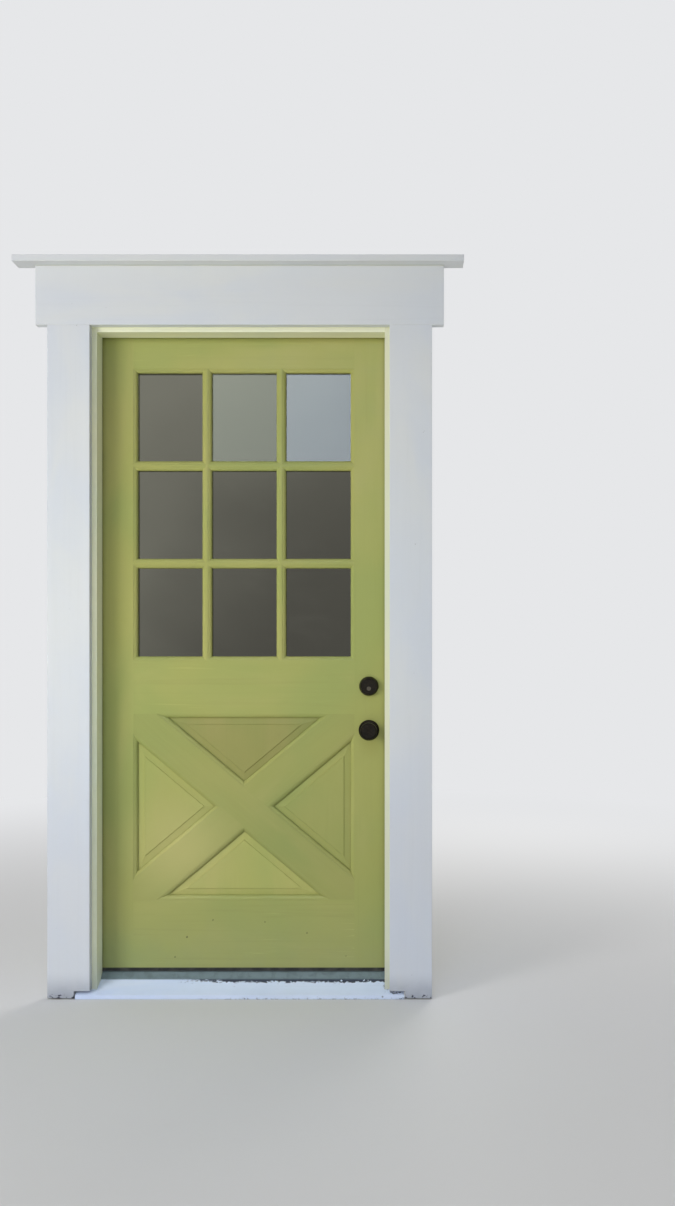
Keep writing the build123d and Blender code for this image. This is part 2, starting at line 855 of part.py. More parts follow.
def add_jamb(side):
    """Adds the jamb at the hinges (-1) or at the lock (1), its foot cut to the sill."""
    with BuildSketch() as section:
        draw_jamb_section(lambda across, y: (side * (stop_x + across), y))
    extrude(section.sketch, amount=frame_top)
    add(sill.part, mode=Mode.SUBTRACT)


with BuildPart() as hinge_jamb:
    add_jamb(-1)
    for height in hinge_heights.values():
        cut_hinge_mortise(-1, height)
save(hinge_jamb, "hinge_jamb")

strike_hole = (
    bolt_width + 2 * strike_hole_clearance,
    bolt_height + 2 * strike_hole_clearance,
)
latch_pocket_depth = latch_throw - door_gap + strike_hole_clearance
with BuildPart() as strike_jamb:
    add_jamb(1)
    for z, height in ((knob_z, latch_strike_height), (plug_z, strike_height)):
        with BuildSketch(Plane.YZ.offset(rabbet_x)):
            with Locations((leaf_middle_y, z)):
                RectangleRounded(
                    strike_width + 2 * mortise_clearance, height + 2 * mortise_clearance, strike_corner
                )
        extrude(amount=strike_plate, mode=Mode.SUBTRACT)
    add_block(
        (rabbet_x, leaf_middle_y, knob_z - strike_lip_height / 2 - mortise_clearance),
        (rabbet_x + strike_plate, jamb_depth, knob_z + strike_lip_height / 2 + mortise_clearance),
        Mode.SUBTRACT,
    )
    for z, depth in ((knob_z, latch_pocket_depth), (plug_z, jamb_outer_x - rabbet_x)):
        with BuildSketch(Plane.YZ.offset(rabbet_x)):
            with Locations((leaf_middle_y, z)):
                Rectangle(*strike_hole)
        extrude(amount=depth, mode=Mode.SUBTRACT)
    for z, spacing in ((knob_z, latch_strike_screw_spacing), (plug_z, strike_screw_spacing)):
        for plane in edge_screw_planes(z, spacing, rabbet_x, -1):
            cut_screw_hole(plane, screw_length + screw_clearance)
save(strike_jamb, "strike_jamb")

with BuildPart() as head_jamb:
    with BuildSketch(Plane.YZ.offset(-rabbet_x)):
        draw_jamb_section(lambda across, y: (y, head_stop_z + across))
    extrude(amount=2 * rabbet_x)
    add(hinge_jamb.part, mode=Mode.SUBTRACT)
    add(strike_jamb.part, mode=Mode.SUBTRACT)
save(head_jamb, "head_jamb")

with BuildPart() as threshold:
    inner_low = sill_back_height
    inner_high = threshold_top - threshold_wall
    hollow = jamb_depth - sill_slope_end - threshold_nose - (threshold_pockets + 1) * threshold_wall
    pocket = hollow / threshold_pockets
    with BuildSketch(Plane.YZ.offset(-rabbet_x)):
        with BuildLine():
            Polyline(
                (sill_slope_end, sill_back_height),
                (jamb_depth, sill_back_height),
                (jamb_depth, threshold_top),
                (sill_slope_end + threshold_nose, threshold_top),
                (sill_slope_end, sill_back_height + threshold_toe),
                close=True,
            )
        make_face()
        for index in range(threshold_pockets):
            low_y = sill_slope_end + threshold_nose + threshold_wall + index * (pocket + threshold_wall)
            with Locations((low_y + pocket / 2, (inner_low + inner_high) / 2)):
                Rectangle(pocket, inner_high - inner_low, mode=Mode.SUBTRACT)
    extrude(amount=2 * rabbet_x)
    add(hinge_jamb.part, mode=Mode.SUBTRACT)
    add(strike_jamb.part, mode=Mode.SUBTRACT)
save(threshold, "threshold")

# Weatherstrip in the corner between the stop and the leaf, down both sides and across the head

with BuildPart() as weatherstrip:
    strip_y = leaf_outer_y - seal_clearance
    for side in (-1, 1):
        with BuildSketch(Plane.XY.offset(threshold_top)):
            with BuildLine():
                Polyline(
                    (side * rabbet_x, stop_y),
                    (side * rabbet_x, strip_y),
                    (side * (rabbet_x - weatherstrip_width), strip_y),
                    (side * (rabbet_x - weatherstrip_width), stop_y),
                    close=True,
                )
            make_face()
            rounded = vertices().sort_by(Axis.Y)[-2:].sort_by(Axis.X)
            fillet(rounded[-1 if side < 0 else 0], radius=weatherstrip_round)
        extrude(amount=head_rabbet_z - threshold_top)
    strip_end = rabbet_x - weatherstrip_width - seal_clearance
    with BuildSketch(Plane.YZ.offset(-strip_end)):
        with Locations(((stop_y + strip_y) / 2, head_rabbet_z - weatherstrip_width / 2)):
            Rectangle(strip_y - stop_y, weatherstrip_width)
        fillet(vertices().sort_by(Axis.X)[-2:].sort_by(Axis.Y)[0], radius=weatherstrip_round)
    extrude(amount=2 * strip_end)
save(weatherstrip, "weatherstrip")

# Casings and cap

horn_top = sill_front_height + (sill_back_height - sill_front_height) * casing_thickness / sill_slope_run
for side, name in ((-1, "hinge_side_casing"), (1, "strike_side_casing")):
    with BuildPart() as side_casing:
        with BuildSketch(Plane.XZ):
            with BuildLine():
                Polyline(
                    (side * casing_inner_x, head_casing_z),
                    (side * casing_outer_x, head_casing_z),
                    (side * casing_outer_x, casing_foot_gap),
                    (side * (sill_half_length + casing_foot_gap), casing_foot_gap),
                    (side * (sill_half_length + casing_foot_gap), horn_top + casing_foot_gap),
                    (side * casing_inner_x, horn_top + casing_foot_gap),
                    close=True,
                )
            make_face()
        extrude(amount=casing_thickness)
        fillet(edges().filter_by(Axis.Z).group_by(Axis.Y)[0], radius=edge_round)
    save(side_casing, name)

half_head_casing = casing_outer_x + head_casing_overhang
with BuildPart() as head_casing:
    add_block((-half_head_casing, -casing_thickness, head_casing_z), (half_head_casing, 0, cap_z))
    fillet(edges().group_by(Axis.Y)[0], radius=edge_round)
save(head_casing, "head_casing")

with BuildPart() as cap:
    add_block(
        (-half_head_casing - cap_overhang, -casing_thickness - cap_projection, cap_z),
        (half_head_casing + cap_overhang, 0, cap_z + cap_thickness),
    )
    fillet(edges().group_by(Axis.Y)[0], radius=edge_round)
save(cap, "cap")

# Hinges, their pins and screws

for place, height in hinge_heights.items():
    save(make_hinge_leaf(-1, height), f"jamb_hinge_leaf_{place}")
    save(make_hinge_leaf(1, height), f"door_hinge_leaf_{place}")

with BuildPart() as hinge_pins:
    for height in hinge_heights.values():
        pin_bottom = height - hinge_height / 2
        with BuildSketch(Plane.XY.offset(pin_bottom)):
            with Locations((hinge_axis_x, hinge_axis_y)):
                Circle(pin_radius)
        extrude(amount=hinge_height)
        with BuildSketch(Plane.XY.offset(pin_bottom + hinge_height)):
            with Locations((hinge_axis_x, hinge_axis_y)):
                Circle(pin_head_radius)
        extrude(amount=pin_head_height, taper=pin_head_taper)
save(hinge_pins, "hinge_pins")

with BuildPart() as frame_screws:
    for height in hinge_heights.values():
        for plane in hinge_screw_planes(-1, height):
            add_screw(plane)
    for z, spacing in ((knob_z, latch_strike_screw_spacing), (plug_z, strike_screw_spacing)):
        for plane in edge_screw_planes(z, spacing, rabbet_x, -1):
            add_screw(plane)
save(frame_screws, "frame_screws")

with BuildPart() as leaf_screws:
    for height in hinge_heights.values():
        for plane in hinge_screw_planes(1, height):
            add_screw(plane)
    for z in (knob_z, plug_z):
        for plane in edge_screw_planes(z, faceplate_screw_spacing, half_leaf, 1):
            add_screw(plane)
save(leaf_screws, "leaf_screws")

# Strikes in the jamb

with BuildPart() as deadbolt_strike:
    with BuildSketch(Plane.YZ.offset(rabbet_x)):
        with Locations((leaf_middle_y, plug_z)):
            RectangleRounded(strike_width, strike_height, strike_corner)
            Rectangle(*strike_hole, mode=Mode.SUBTRACT)
    extrude(amount=strike_plate)
    for plane in edge_screw_planes(plug_z, strike_screw_spacing, rabbet_x, -1):
        cut_screw_hole(plane, strike_plate)
save(deadbolt_strike, "deadbolt_strike")

with BuildPart() as latch_strike:
    lip_centre = (rabbet_x + strike_lip_radius, jamb_depth + strike_lip_stand_off)

    def lip_point(radius, angle):
        turned = radians(180 - angle)
        return (lip_centre[0] + radius * cos(turned), lip_centre[1] + radius * sin(turned))

    with BuildSketch(Plane.YZ.offset(rabbet_x)):
        with Locations((leaf_middle_y, knob_z)):
            RectangleRounded(strike_width, latch_strike_height, strike_corner)
    extrude(amount=strike_plate)
    back_radius = strike_lip_radius - strike_plate
    with BuildSketch(Plane.XY.offset(knob_z - strike_lip_height / 2)):
        with BuildLine():
            Polyline(
                lip_point(back_radius, 0),
                (rabbet_x + strike_plate, leaf_middle_y),
                (rabbet_x, leaf_middle_y),
                lip_point(strike_lip_radius, 0),
            )
            ThreePointArc(
                *[lip_point(strike_lip_radius, share * strike_lip_angle) for share in (0, 0.5, 1)]
            )
            Line(
                lip_point(strike_lip_radius, strike_lip_angle),
                lip_point(back_radius, strike_lip_angle),
            )
            ThreePointArc(*[lip_point(back_radius, share * strike_lip_angle) for share in (1, 0.5, 0)])
        make_face()
    extrude(amount=strike_lip_height)
    with BuildSketch(Plane.YZ.offset(rabbet_x)):
        with Locations((leaf_middle_y, knob_z)):
            Rectangle(*strike_hole)
    extrude(amount=strike_plate, mode=Mode.SUBTRACT)
    for plane in edge_screw_planes(knob_z, latch_strike_screw_spacing, rabbet_x, -1):
        cut_screw_hole(plane, strike_plate)
save(latch_strike, "latch_strike")

# Knob set: outer and inner knobs on one spindle, each in its rose


def draw_knob():
    """Draws half of a knob's section: shank, flared neck, rounded rim and flat face."""
    rim_low = knob_projection - knob_edge_round - knob_rim
    with BuildLine() as outline:
        Polyline(
            (0, knob_projection),
            (0, -knob_tail),
            (knob_shank_radius, -knob_tail),
            (knob_shank_radius, knob_neck),
            (knob_flare_radius, knob_flare_height),
            (knob_radius, rim_low),
            (knob_radius, rim_low + knob_rim),
        )
        RadiusArc(
            (knob_radius, rim_low + knob_rim),
            (knob_radius - knob_edge_round, knob_projection),
            -knob_edge_round,
        )
        Line((knob_radius - knob_edge_round, knob_projection), (0, knob_projection))
    make_face(outline.line)


def add_knob(side):
    """Adds a knob on the outer (-1) or inner (1) face."""
    base = (lock_x, leaf_outer_y if side < 0 else leaf_inner_y, knob_z)
    with BuildSketch(Plane(origin=base, x_dir=(1, 0, 0), z_dir=(0, 0, side))) as section:
        draw_knob()
    revolve(section.sketch, axis=Axis(base, (0, side, 0)))


def make_knob_rose(side):
    """A domed rose whose bore carries the knob's shank."""
    bore = knob_shank_radius + running_clearance
    with BuildPart() as rose:
        revolve_outline(
            side,
            lock_x,
            knob_z,
            [
                (bore, 0),
                (rose_radius, 0),
                (rose_radius, rose_rim),
                (rose_shoulder_radius, rose_shoulder),
                (rose_crown_radius, rose_thickness),
                (bore, rose_thickness),
            ],
        )
    return rose


spindle_end_y = leaf_inner_y + spindle_grip
with BuildPart() as outer_knob:
    add_knob(-1)
    with BuildSketch(Plane.XZ.offset(-leaf_outer_y - knob_tail)):
        with Locations((lock_x, knob_z)):
            Rectangle(spindle_size, spindle_size)
    extrude(amount=-(spindle_end_y - leaf_outer_y - knob_tail))
    add_crank(knob_z, latch_throw, latch_turn)
save(outer_knob, "outer_knob")

with BuildPart() as inner_knob:
    add_knob(1)
    with BuildSketch(Plane.XZ.offset(-leaf_inner_y + knob_tail)):
        with Locations((lock_x, knob_z)):
            Rectangle(spindle_size + 2 * spindle_clearance, spindle_size + 2 * spindle_clearance)
    extrude(amount=-(spindle_end_y - leaf_inner_y + knob_tail + spindle_clearance), mode=Mode.SUBTRACT)
save(inner_knob, "inner_knob")

save(make_knob_rose(-1), "outer_rose")
save(make_knob_rose(1), "inner_rose")

latch_case = make_bolt_case(knob_z)
save(latch_case, "latch_case")

with BuildPart() as latch_bolt:
    flank = bolt_width / 2
    with BuildSketch(Plane.XY.offset(knob_z - bolt_height / 2)):
        with BuildLine():
            Polyline(
                (bolt_back_x, leaf_middle_y - flank),
                (bolt_tip_x - latch_bevel, leaf_middle_y - flank),
                (bolt_tip_x, leaf_middle_y + flank - latch_nose),
                (bolt_tip_x, leaf_middle_y + flank),
                (bolt_back_x, leaf_middle_y + flank),
                close=True,
            )
        make_face()
    extrude(amount=bolt_height)
    add_bolt_tail(knob_z, latch_throw, latch_turn)
save(latch_bolt, "latch_bolt")

# Deadbolt: collar and cylinder outside, turn and rose inside, bolt between them

with BuildPart() as deadbolt_cylinder:
    revolve_outline(
        -1,
        lock_x,
        collar_z,
        [
            (0, -cylinder_body_length),
            (cylinder_body_radius, -cylinder_body_length),
            (cylinder_body_radius, 0),
            (collar_radius, 0),
            (collar_radius, collar_rim),
            (collar_front_radius + collar_edge, collar_projection - collar_edge),
            (collar_front_radius, collar_projection),
            (collar_groove_radius + collar_groove_width, collar_projection),
            (collar_groove_radius + collar_groove_width, collar_projection - collar_groove_depth),
            (collar_groove_radius, collar_projection - collar_groove_depth),
            (collar_groove_radius, collar_projection),
            (0, collar_projection),
        ],
    )
    with BuildSketch(face_plane(-1, lock_x, plug_z).offset(collar_projection)):
        Circle(plug_radius + running_clearance)
    extrude(amount=-(collar_projection + cylinder_body_length), mode=Mode.SUBTRACT)
save(deadbolt_cylinder, "deadbolt_cylinder")

thumb_hub_y = leaf_inner_y - thumb_hub_tail
tailpiece_end_y = thumb_hub_y + tailpiece_grip
with BuildPart() as key_plug:
    with BuildSketch(face_plane(-1, lock_x, plug_z).offset(collar_projection)):
        Circle(plug_radius)
    extrude(amount=-(collar_projection + cylinder_body_length))
    with BuildSketch(face_plane(-1, lock_x, plug_z).offset(collar_projection)):
        Rectangle(keyway_width, keyway_height)
    extrude(amount=-keyway_depth, mode=Mode.SUBTRACT)
    with BuildSketch(Plane.XZ.offset(-leaf_outer_y - cylinder_body_length)):
        with Locations((lock_x, plug_z)):
            Rectangle(tailpiece_thickness, tailpiece_width)
    extrude(amount=-(tailpiece_end_y - leaf_outer_y - cylinder_body_length))
    add_crank(plug_z, deadbolt_throw, deadbolt_turn)
save(key_plug, "key_plug")

with BuildPart() as thumb_turn:
    with BuildSketch(Plane.XZ.offset(-thumb_hub_y)):
        with Locations((lock_x, plug_z)):
            Circle(thumb_hub_radius)
    extrude(amount=-(thumb_hub_tail + inner_rose_thickness + thumb_stand_off))
    with BuildSketch(Plane.XZ.offset(-leaf_inner_y - inner_rose_thickness - thumb_stand_off)):
        with Locations((lock_x, plug_z)):
            SlotOverall(thumb_length, thumb_width, rotation=90)
    extrude(amount=-(thumb_projection - inner_rose_thickness - thumb_stand_off), taper=thumb_taper)
    with BuildSketch(Plane.XZ.offset(-thumb_hub_y)):
        with Locations((lock_x, plug_z)):
            Rectangle(
                tailpiece_thickness + 2 * spindle_clearance, tailpiece_width + 2 * spindle_clearance
            )
    extrude(amount=-(tailpiece_end_y - thumb_hub_y + spindle_clearance), mode=Mode.SUBTRACT)
save(thumb_turn, "thumb_turn")

with BuildPart() as deadbolt_rose:
    revolve_outline(
        1,
        lock_x,
        collar_z,
        [
            (0, 0),
            (collar_radius, 0),
            (collar_radius, inner_rose_rim),
            (inner_rose_crown_radius, inner_rose_thickness),
            (0, inner_rose_thickness),
        ],
    )
    with BuildSketch(face_plane(1, lock_x, plug_z)):
        Circle(thumb_hub_radius + running_clearance)
    extrude(amount=inner_rose_thickness, mode=Mode.SUBTRACT)
save(deadbolt_rose, "deadbolt_rose")

deadbolt_case = make_bolt_case(plug_z)
save(deadbolt_case, "deadbolt_case")

with BuildPart() as deadbolt:
    with BuildSketch(Plane.YZ.offset(bolt_back_x)):
        with Locations((leaf_middle_y, plug_z)):
            Rectangle(bolt_width, bolt_height)
    extrude(amount=bolt_tip_x - bolt_back_x)
    chamfer(edges().group_by(Axis.X)[-1], length=deadbolt_tip_chamfer)
    add_bolt_tail(plug_z, deadbolt_throw, deadbolt_turn)
save(deadbolt, "deadbolt")
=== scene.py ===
"""Dresses the half-glazed crossbuck entry door: paint, glass, metal, weathering and the studio round it."""

import logging
import math
import random
from abc import ABC, abstractmethod
from dataclasses import dataclass
from enum import Enum
from functools import reduce
from typing import Any, ClassVar, Union

import bmesh
import bpy
from mathutils import Matrix, Vector
from mathutils.bvhtree import BVHTree


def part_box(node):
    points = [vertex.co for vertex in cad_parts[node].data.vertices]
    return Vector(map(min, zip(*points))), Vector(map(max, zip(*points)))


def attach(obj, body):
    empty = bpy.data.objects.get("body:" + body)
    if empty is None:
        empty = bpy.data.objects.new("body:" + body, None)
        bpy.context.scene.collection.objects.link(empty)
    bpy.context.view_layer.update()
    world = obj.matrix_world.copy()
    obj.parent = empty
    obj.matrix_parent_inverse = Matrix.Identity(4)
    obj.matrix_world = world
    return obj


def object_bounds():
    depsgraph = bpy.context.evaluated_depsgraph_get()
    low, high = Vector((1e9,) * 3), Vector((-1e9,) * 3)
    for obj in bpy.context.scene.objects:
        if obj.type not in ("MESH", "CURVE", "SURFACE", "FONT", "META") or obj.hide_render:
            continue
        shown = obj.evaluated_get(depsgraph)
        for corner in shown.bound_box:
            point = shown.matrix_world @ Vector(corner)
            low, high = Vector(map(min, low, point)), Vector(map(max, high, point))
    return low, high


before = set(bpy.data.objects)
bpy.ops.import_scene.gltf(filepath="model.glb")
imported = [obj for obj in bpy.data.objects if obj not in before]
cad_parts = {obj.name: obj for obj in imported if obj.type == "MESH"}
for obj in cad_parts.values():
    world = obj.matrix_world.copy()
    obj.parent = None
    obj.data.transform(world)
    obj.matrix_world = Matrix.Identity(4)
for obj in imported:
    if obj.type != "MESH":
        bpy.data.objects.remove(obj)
cad_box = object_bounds()

LOG = logging.getLogger("entry_door")

Triple = tuple[float, float, float]
Fixed = ClassVar[float]
Term = Union["Field", float]
Socket = Union["Field", "Colour", float, bool, tuple[float, ...]]


class Field:
    """A value that varies over a surface: one node output that takes part in sums."""

    def __init__(self, graph: "Graph", node: bpy.types.Node, output: Union[int, str] = 0) -> None:
        """Keeps one output of a node.

        Args:
            graph: the graph that the node belongs to.
            node: the node.
            output: the output's place or name.
        """
        self.graph = graph
        self.node = node
        self.socket = node.outputs[output]

    def output(self, name: Union[int, str]) -> "Field":
        """Another output of the same node."""
        return Field(self.graph, self.node, name)

    def _sum(self, operation: str, first: Term, second: Term) -> "Field":
        """Joins two terms by one step of maths.

        Args:
            operation: the step's name, such as ADD.
            first: the term on the left.
            second: the term on the right.

        Returns:
            The result as a field.
        """
        return self.graph.add("ShaderNodeMath", {"operation": operation}, {0: first, 1: second})

    def __add__(self, other: Term) -> "Field":
        """This field plus another term."""
        return self._sum("ADD", self, other)

    def __radd__(self, other: Term) -> "Field":
        """Another term plus this field."""
        return self._sum("ADD", other, self)

    def __sub__(self, other: Term) -> "Field":
        """This field less another term."""
        return self._sum("SUBTRACT", self, other)

    def __rsub__(self, other: Term) -> "Field":
        """Another term less this field."""
        return self._sum("SUBTRACT", other, self)

    def __mul__(self, other: Term) -> "Field":
        """This field times another term."""
        return self._sum("MULTIPLY", self, other)

    def __rmul__(self, other: Term) -> "Field":
        """Another term times this field."""
        return self._sum("MULTIPLY", other, self)

    def largest(self, other: Term) -> "Field":
        """The larger of this field and another term."""
        return self._sum("MAXIMUM", self, other)

    def ramp(self, low: float, high: float) -> "Field":
        """A soft step from 0 to 1, or from 1 to 0 where low is the larger.

        Args:
            low: the value that gives 0.
            high: the value that gives 1.

        Returns:
            The step as a field between 0 and 1.
        """
        if low > high:
            return 1 - self.ramp(high, low)
        settings = {"interpolation_type": "SMOOTHSTEP", "clamp": True}
        return self.graph.add("ShaderNodeMapRange", settings, {0: self, 1: low, 2: high})


class Graph:
    """The nodes of one material, or of the world."""

    CREASE_SAMPLES: ClassVar[int] = 6

    def __init__(self, tree: bpy.types.NodeTree) -> None:
        """Empties a node tree and keeps it."""
        self.tree = tree
        tree.nodes.clear()

    def add(
        self,
        kind: str,
        settings: Union[dict[str, Any], None] = None,
        sockets: Union[dict[Union[int, str], Socket], None] = None,
    ) -> Union[Field, None]:
        """Adds a node.

        Args:
            kind: the node's type.
            settings: the node's own settings, which are set first.
            sockets: the values or links of its inputs, by place or name.

        Returns:
            The node's first output, or None for a node that ends the graph.
        """
        node = self.tree.nodes.new(kind)
        for name, value in (settings or {}).items():
            setattr(node, name, value)
        for name, value in (sockets or {}).items():
            if isinstance(value, Field):
                self.tree.links.new(value.socket, node.inputs[name])
            else:
                node.inputs[name].default_value = value.linear() if isinstance(value, Colour) else value
        return Field(self, node) if node.outputs else None

    def place(self) -> Field:
        """The point on the object, in metres, which stays with the body as it moves."""
        return self.add("ShaderNodeTexCoord").output("Object")

    def _part(self, axis: str) -> Field:
        """One part of the point on the object, in metres."""
        return self.add("ShaderNodeSeparateXYZ", sockets={0: self.place()}).output(axis)

    def across(self) -> Field:
        """The point's distance from the doorway's middle, to the right, in metres."""
        return self._part("X")

    def through(self) -> Field:
        """The point's distance through the wall, behind the wall's face, in metres."""
        return self._part("Y")

    def height(self) -> Field:
        """The point's height above the ground at rest, in metres."""
        return self._part("Z")

    def away_from(self, across: float, height: float) -> Field:
        """How far a point lies from a level line that runs through the wall.

        Args:
            across: the line's distance from the doorway's middle, to the right, in metres.
            height: the line's height above the ground, in metres.

        Returns:
            The distance in metres.
        """
        sockets = {0: self.stretched(self.place(), (1.0, 0.0, 1.0)), 1: (across, 0.0, height)}
        return self.add("ShaderNodeVectorMath", {"operation": "DISTANCE"}, sockets).output("Value")

    def turned(self, place: Field, angle: float) -> Field:
        """Turns points about the through axis, so that what rose at that angle lies level.

        Args:
            place: the points.
            angle: the angle in radians.

        Returns:
            The turned points.
        """
        return self.add("ShaderNodeMapping", sockets={"Vector": place, "Rotation": (0.0, angle, 0.0)})

    def stretched(self, place: Field, counts: Triple) -> Field:
        """Scales points, so that a pattern repeats that many times a metre along each axis."""
        return self.add("ShaderNodeVectorMath", {"operation": "MULTIPLY"}, {0: place, 1: counts})

    def noise(self, place: Field, scale: float = 1.0, detail: float = 2.0, warp: float = 0.0) -> Field:
        """A soft random pattern.

        Args:
            place: the points.
            scale: how many blots there are to a unit.
            detail: how many finer layers it has.
            warp: how much it is twisted.

        Returns:
            The pattern as a field from 0 to 1, mostly near 0.5.
        """
        sockets = {"Vector": place, "Scale": scale, "Detail": detail, "Distortion": warp}
        return self.add("ShaderNodeTexNoise", None, sockets)

    def specks(self, place: Field, scale: float, share: float, size: float) -> Field:
        """Scattered small spots of uneven outline.

        Args:
            place: the points.
            scale: how many cells there are to a metre.
            share: the share of the cells that hold a spot.
            size: a spot's radius as a share of its cell.

        Returns:
            A field that is 1 in a spot and 0 outside.
        """
        rim_finer = 4.0
        outer_rim = size * 1.1
        inner_rim = size * 0.8
        doubt = 0.01
        wobble = (self.noise(place, scale * rim_finer) - 0.5) * size
        cells = self.add("ShaderNodeTexVoronoi", None, {"Vector": place, "Scale": scale})
        lot = self.add("ShaderNodeSeparateColor", sockets={0: cells.output("Color")})
        return (cells + wobble).ramp(outer_rim, inner_rim) * lot.ramp(share + doubt, share - doubt)

    def spots(self, marks: tuple[Triple, ...]) -> Field:
        """Small ragged spots at given places of the front.

        Args:
            marks: each spot's distance to the right, height and radius, in metres.

        Returns:
            A field that is 1 in the spots and 0 outside.
        """
        raggedness = 1.4
        core = 0.7
        wobble = self.noise(self.place(), scale=260.0, detail=3.0) - 0.5
        covers = [
            (self.away_from(across, height) + wobble * radius * raggedness).ramp(radius, radius * core)
            for across, height, radius in marks
        ]
        return reduce(Field.largest, covers)

    def creases(self, reach: float, inside: bool = False) -> Field:
        """How hemmed in a point is.

        Args:
            reach: how far round the point it looks, in metres.
            inside: True to find outer edges in place of inner corners.

        Returns:
            A field from 0 in the open to 1 in a deep crease.
        """
        settings = {"samples": self.CREASE_SAMPLES, "inside": inside}
        return 1 - self.add("ShaderNodeAmbientOcclusion", settings, {"Distance": reach}).output("AO")

    def blend(self, share: Term, first: Socket, second: Socket) -> Field:
        """Mixes two colours.

        Args:
            share: the second colour's share.
            first: the first colour.
            second: the second colour.

        Returns:
            The mixed colour.
        """
        # The node has a set of sockets for each kind of data. These are the ones for colours.
        first_socket, second_socket, result = 6, 7, 2
        sockets = {0: share, first_socket: first, second_socket: second}
        return self.add("ShaderNodeMix", {"data_type": "RGBA"}, sockets).output(result)

    def bump(
        self, height: Field, depth: float, strength: float = 1.0, under: Union[Field, None] = None
    ) -> Field:
        """Turns a height pattern into a surface normal.

        Args:
            height: the pattern, from 0 to 1.
            depth: the height in metres of the step from 0 to 1.
            strength: how strongly it shows.
            under: a normal that it lies on top of.

        Returns:
            The normal.
        """
        sockets = {"Height": height, "Distance": depth, "Strength": strength}
        if under is not None:
            sockets["Normal"] = under
        return self.add("ShaderNodeBump", None, sockets)


@dataclass(frozen=True)
class Colour:
    """A colour as it is seen, from 0 to 255 in each part."""

    red: float
    green: float
    blue: float

    FULL: Fixed = 255
    KNEE: Fixed = 0.04045
    SLOPE: Fixed = 12.92
    OFFSET: Fixed = 0.055
    POWER: Fixed = 2.4

    def linear(self) -> tuple[float, float, float, float]:
        """The colour as light, with full cover."""
        return (*(self._as_light(part / self.FULL) for part in (self.red, self.green, self.blue)), 1.0)

    def _as_light(self, part: float) -> float:
        """One part of a seen colour as an amount of light, by the curve that screens use.

        Args:
            part: the part, from 0 to 1.

        Returns:
            The amount of light, from 0 to 1.
        """
        if part <= self.KNEE:
            return part / self.SLOPE
        return ((part + self.OFFSET) / (1 + self.OFFSET)) ** self.POWER

    def dimmed(self, share: float, warmth: float = 1.0) -> "Colour":
        """The colour with each part times a share, and its red times a warmth besides."""
        return Colour(self.red * share * warmth, self.green * share, self.blue * share)


@dataclass(frozen=True)
class Tones:
    """A paint's colours: its usual coat, the cool and warm tones that it drifts to, and the painted shading
    laid into its creases.
    """

    coat: Colour
    cool: Colour
    warm: Colour
    # Painted shading: the colour that creases take in place of the shade that falls there; for the white
    # paint it is a pale yellow painted glow.
    crease: Colour

    def dimmed(self, share: float, warmth: float = 1.0) -> "Tones":
        """The same paint with all but its painted crease shading dimmed."""
        coat, cool, warm = (tone.dimmed(share, warmth) for tone in (self.coat, self.cool, self.warm))
        return Tones(coat, cool, warm, self.crease)


class Run(Enum):
    """The way that a timber's grain and the brush strokes on it run."""

    LEVEL = "level"
    UPRIGHT = "upright"
    RISING = "rising to the right"
    FALLING = "falling to the right"

    def angle(self, slope: float) -> float:
        """The run's angle from level in radians, where the braces have that slope."""
        return {Run.LEVEL: 0.0, Run.UPRIGHT: math.pi / 2, Run.RISING: slope, Run.FALLING: -slope}[self]


@dataclass(frozen=True)
class Grime:
    """Dirt that splashes up from the ground and fades out with height."""

    colour: Colour
    reach: float
    strength: float

    BLOTTED: Fixed = 0.7
    EVEN: Fixed = 0.45

    def laid(self, graph: Graph, colour: Field, blots: Field) -> Field:
        """Lays the dirt over a colour.

        Args:
            graph: the material's graph.
            colour: the clean colour.
            blots: a soft pattern that breaks the dirt up.

        Returns:
            The soiled colour.
        """
        low = graph.height().ramp(self.reach, 0.0)
        share = low * (blots * self.BLOTTED + self.EVEN) * self.strength
        return graph.blend(share, colour, self.colour)


@dataclass(frozen=True)
class Flaking:
    """Places where the paint has come off down to the timber: at the foot, on arrises and beside joints."""

    bare: Colour
    scale: float
    foot_reach: float = 0.03
    foot: float = 0.0
    arris: float = 0.0
    joint: float = 0.0
    joint_from: float = -0.25
    joint_to: float = 0.1

    ARRIS_REACH: Fixed = 0.005
    JOINT_REACH: Fixed = 0.018
    DARKEST: Fixed = 0.7

    def mask(self, graph: Graph) -> Field:
        """Finds where the timber is bare.

        Args:
            graph: the material's graph.

        Returns:
            A field that is 1 where the timber is bare.
        """
        ragged = graph.noise(graph.place(), self.scale, detail=5.0, warp=0.6)
        weak = graph.height().ramp(self.foot_reach, 0.0) * self.foot
        if self.arris:
            weak = weak + graph.creases(self.ARRIS_REACH, inside=True).ramp(0.25, 0.9) * self.arris
        if self.joint:
            wet = graph.across().ramp(self.joint_from, self.joint_to)
            weak = weak + graph.creases(self.JOINT_REACH).ramp(0.1, 0.7) * wet * self.joint
        return (ragged + weak).ramp(0.76, 0.79)

    def timber(self, graph: Graph, grain: Field) -> Field:
        """The bare timber's colour, with its grain."""
        return graph.blend(grain, self.bare, self.bare.dimmed(self.DARKEST))


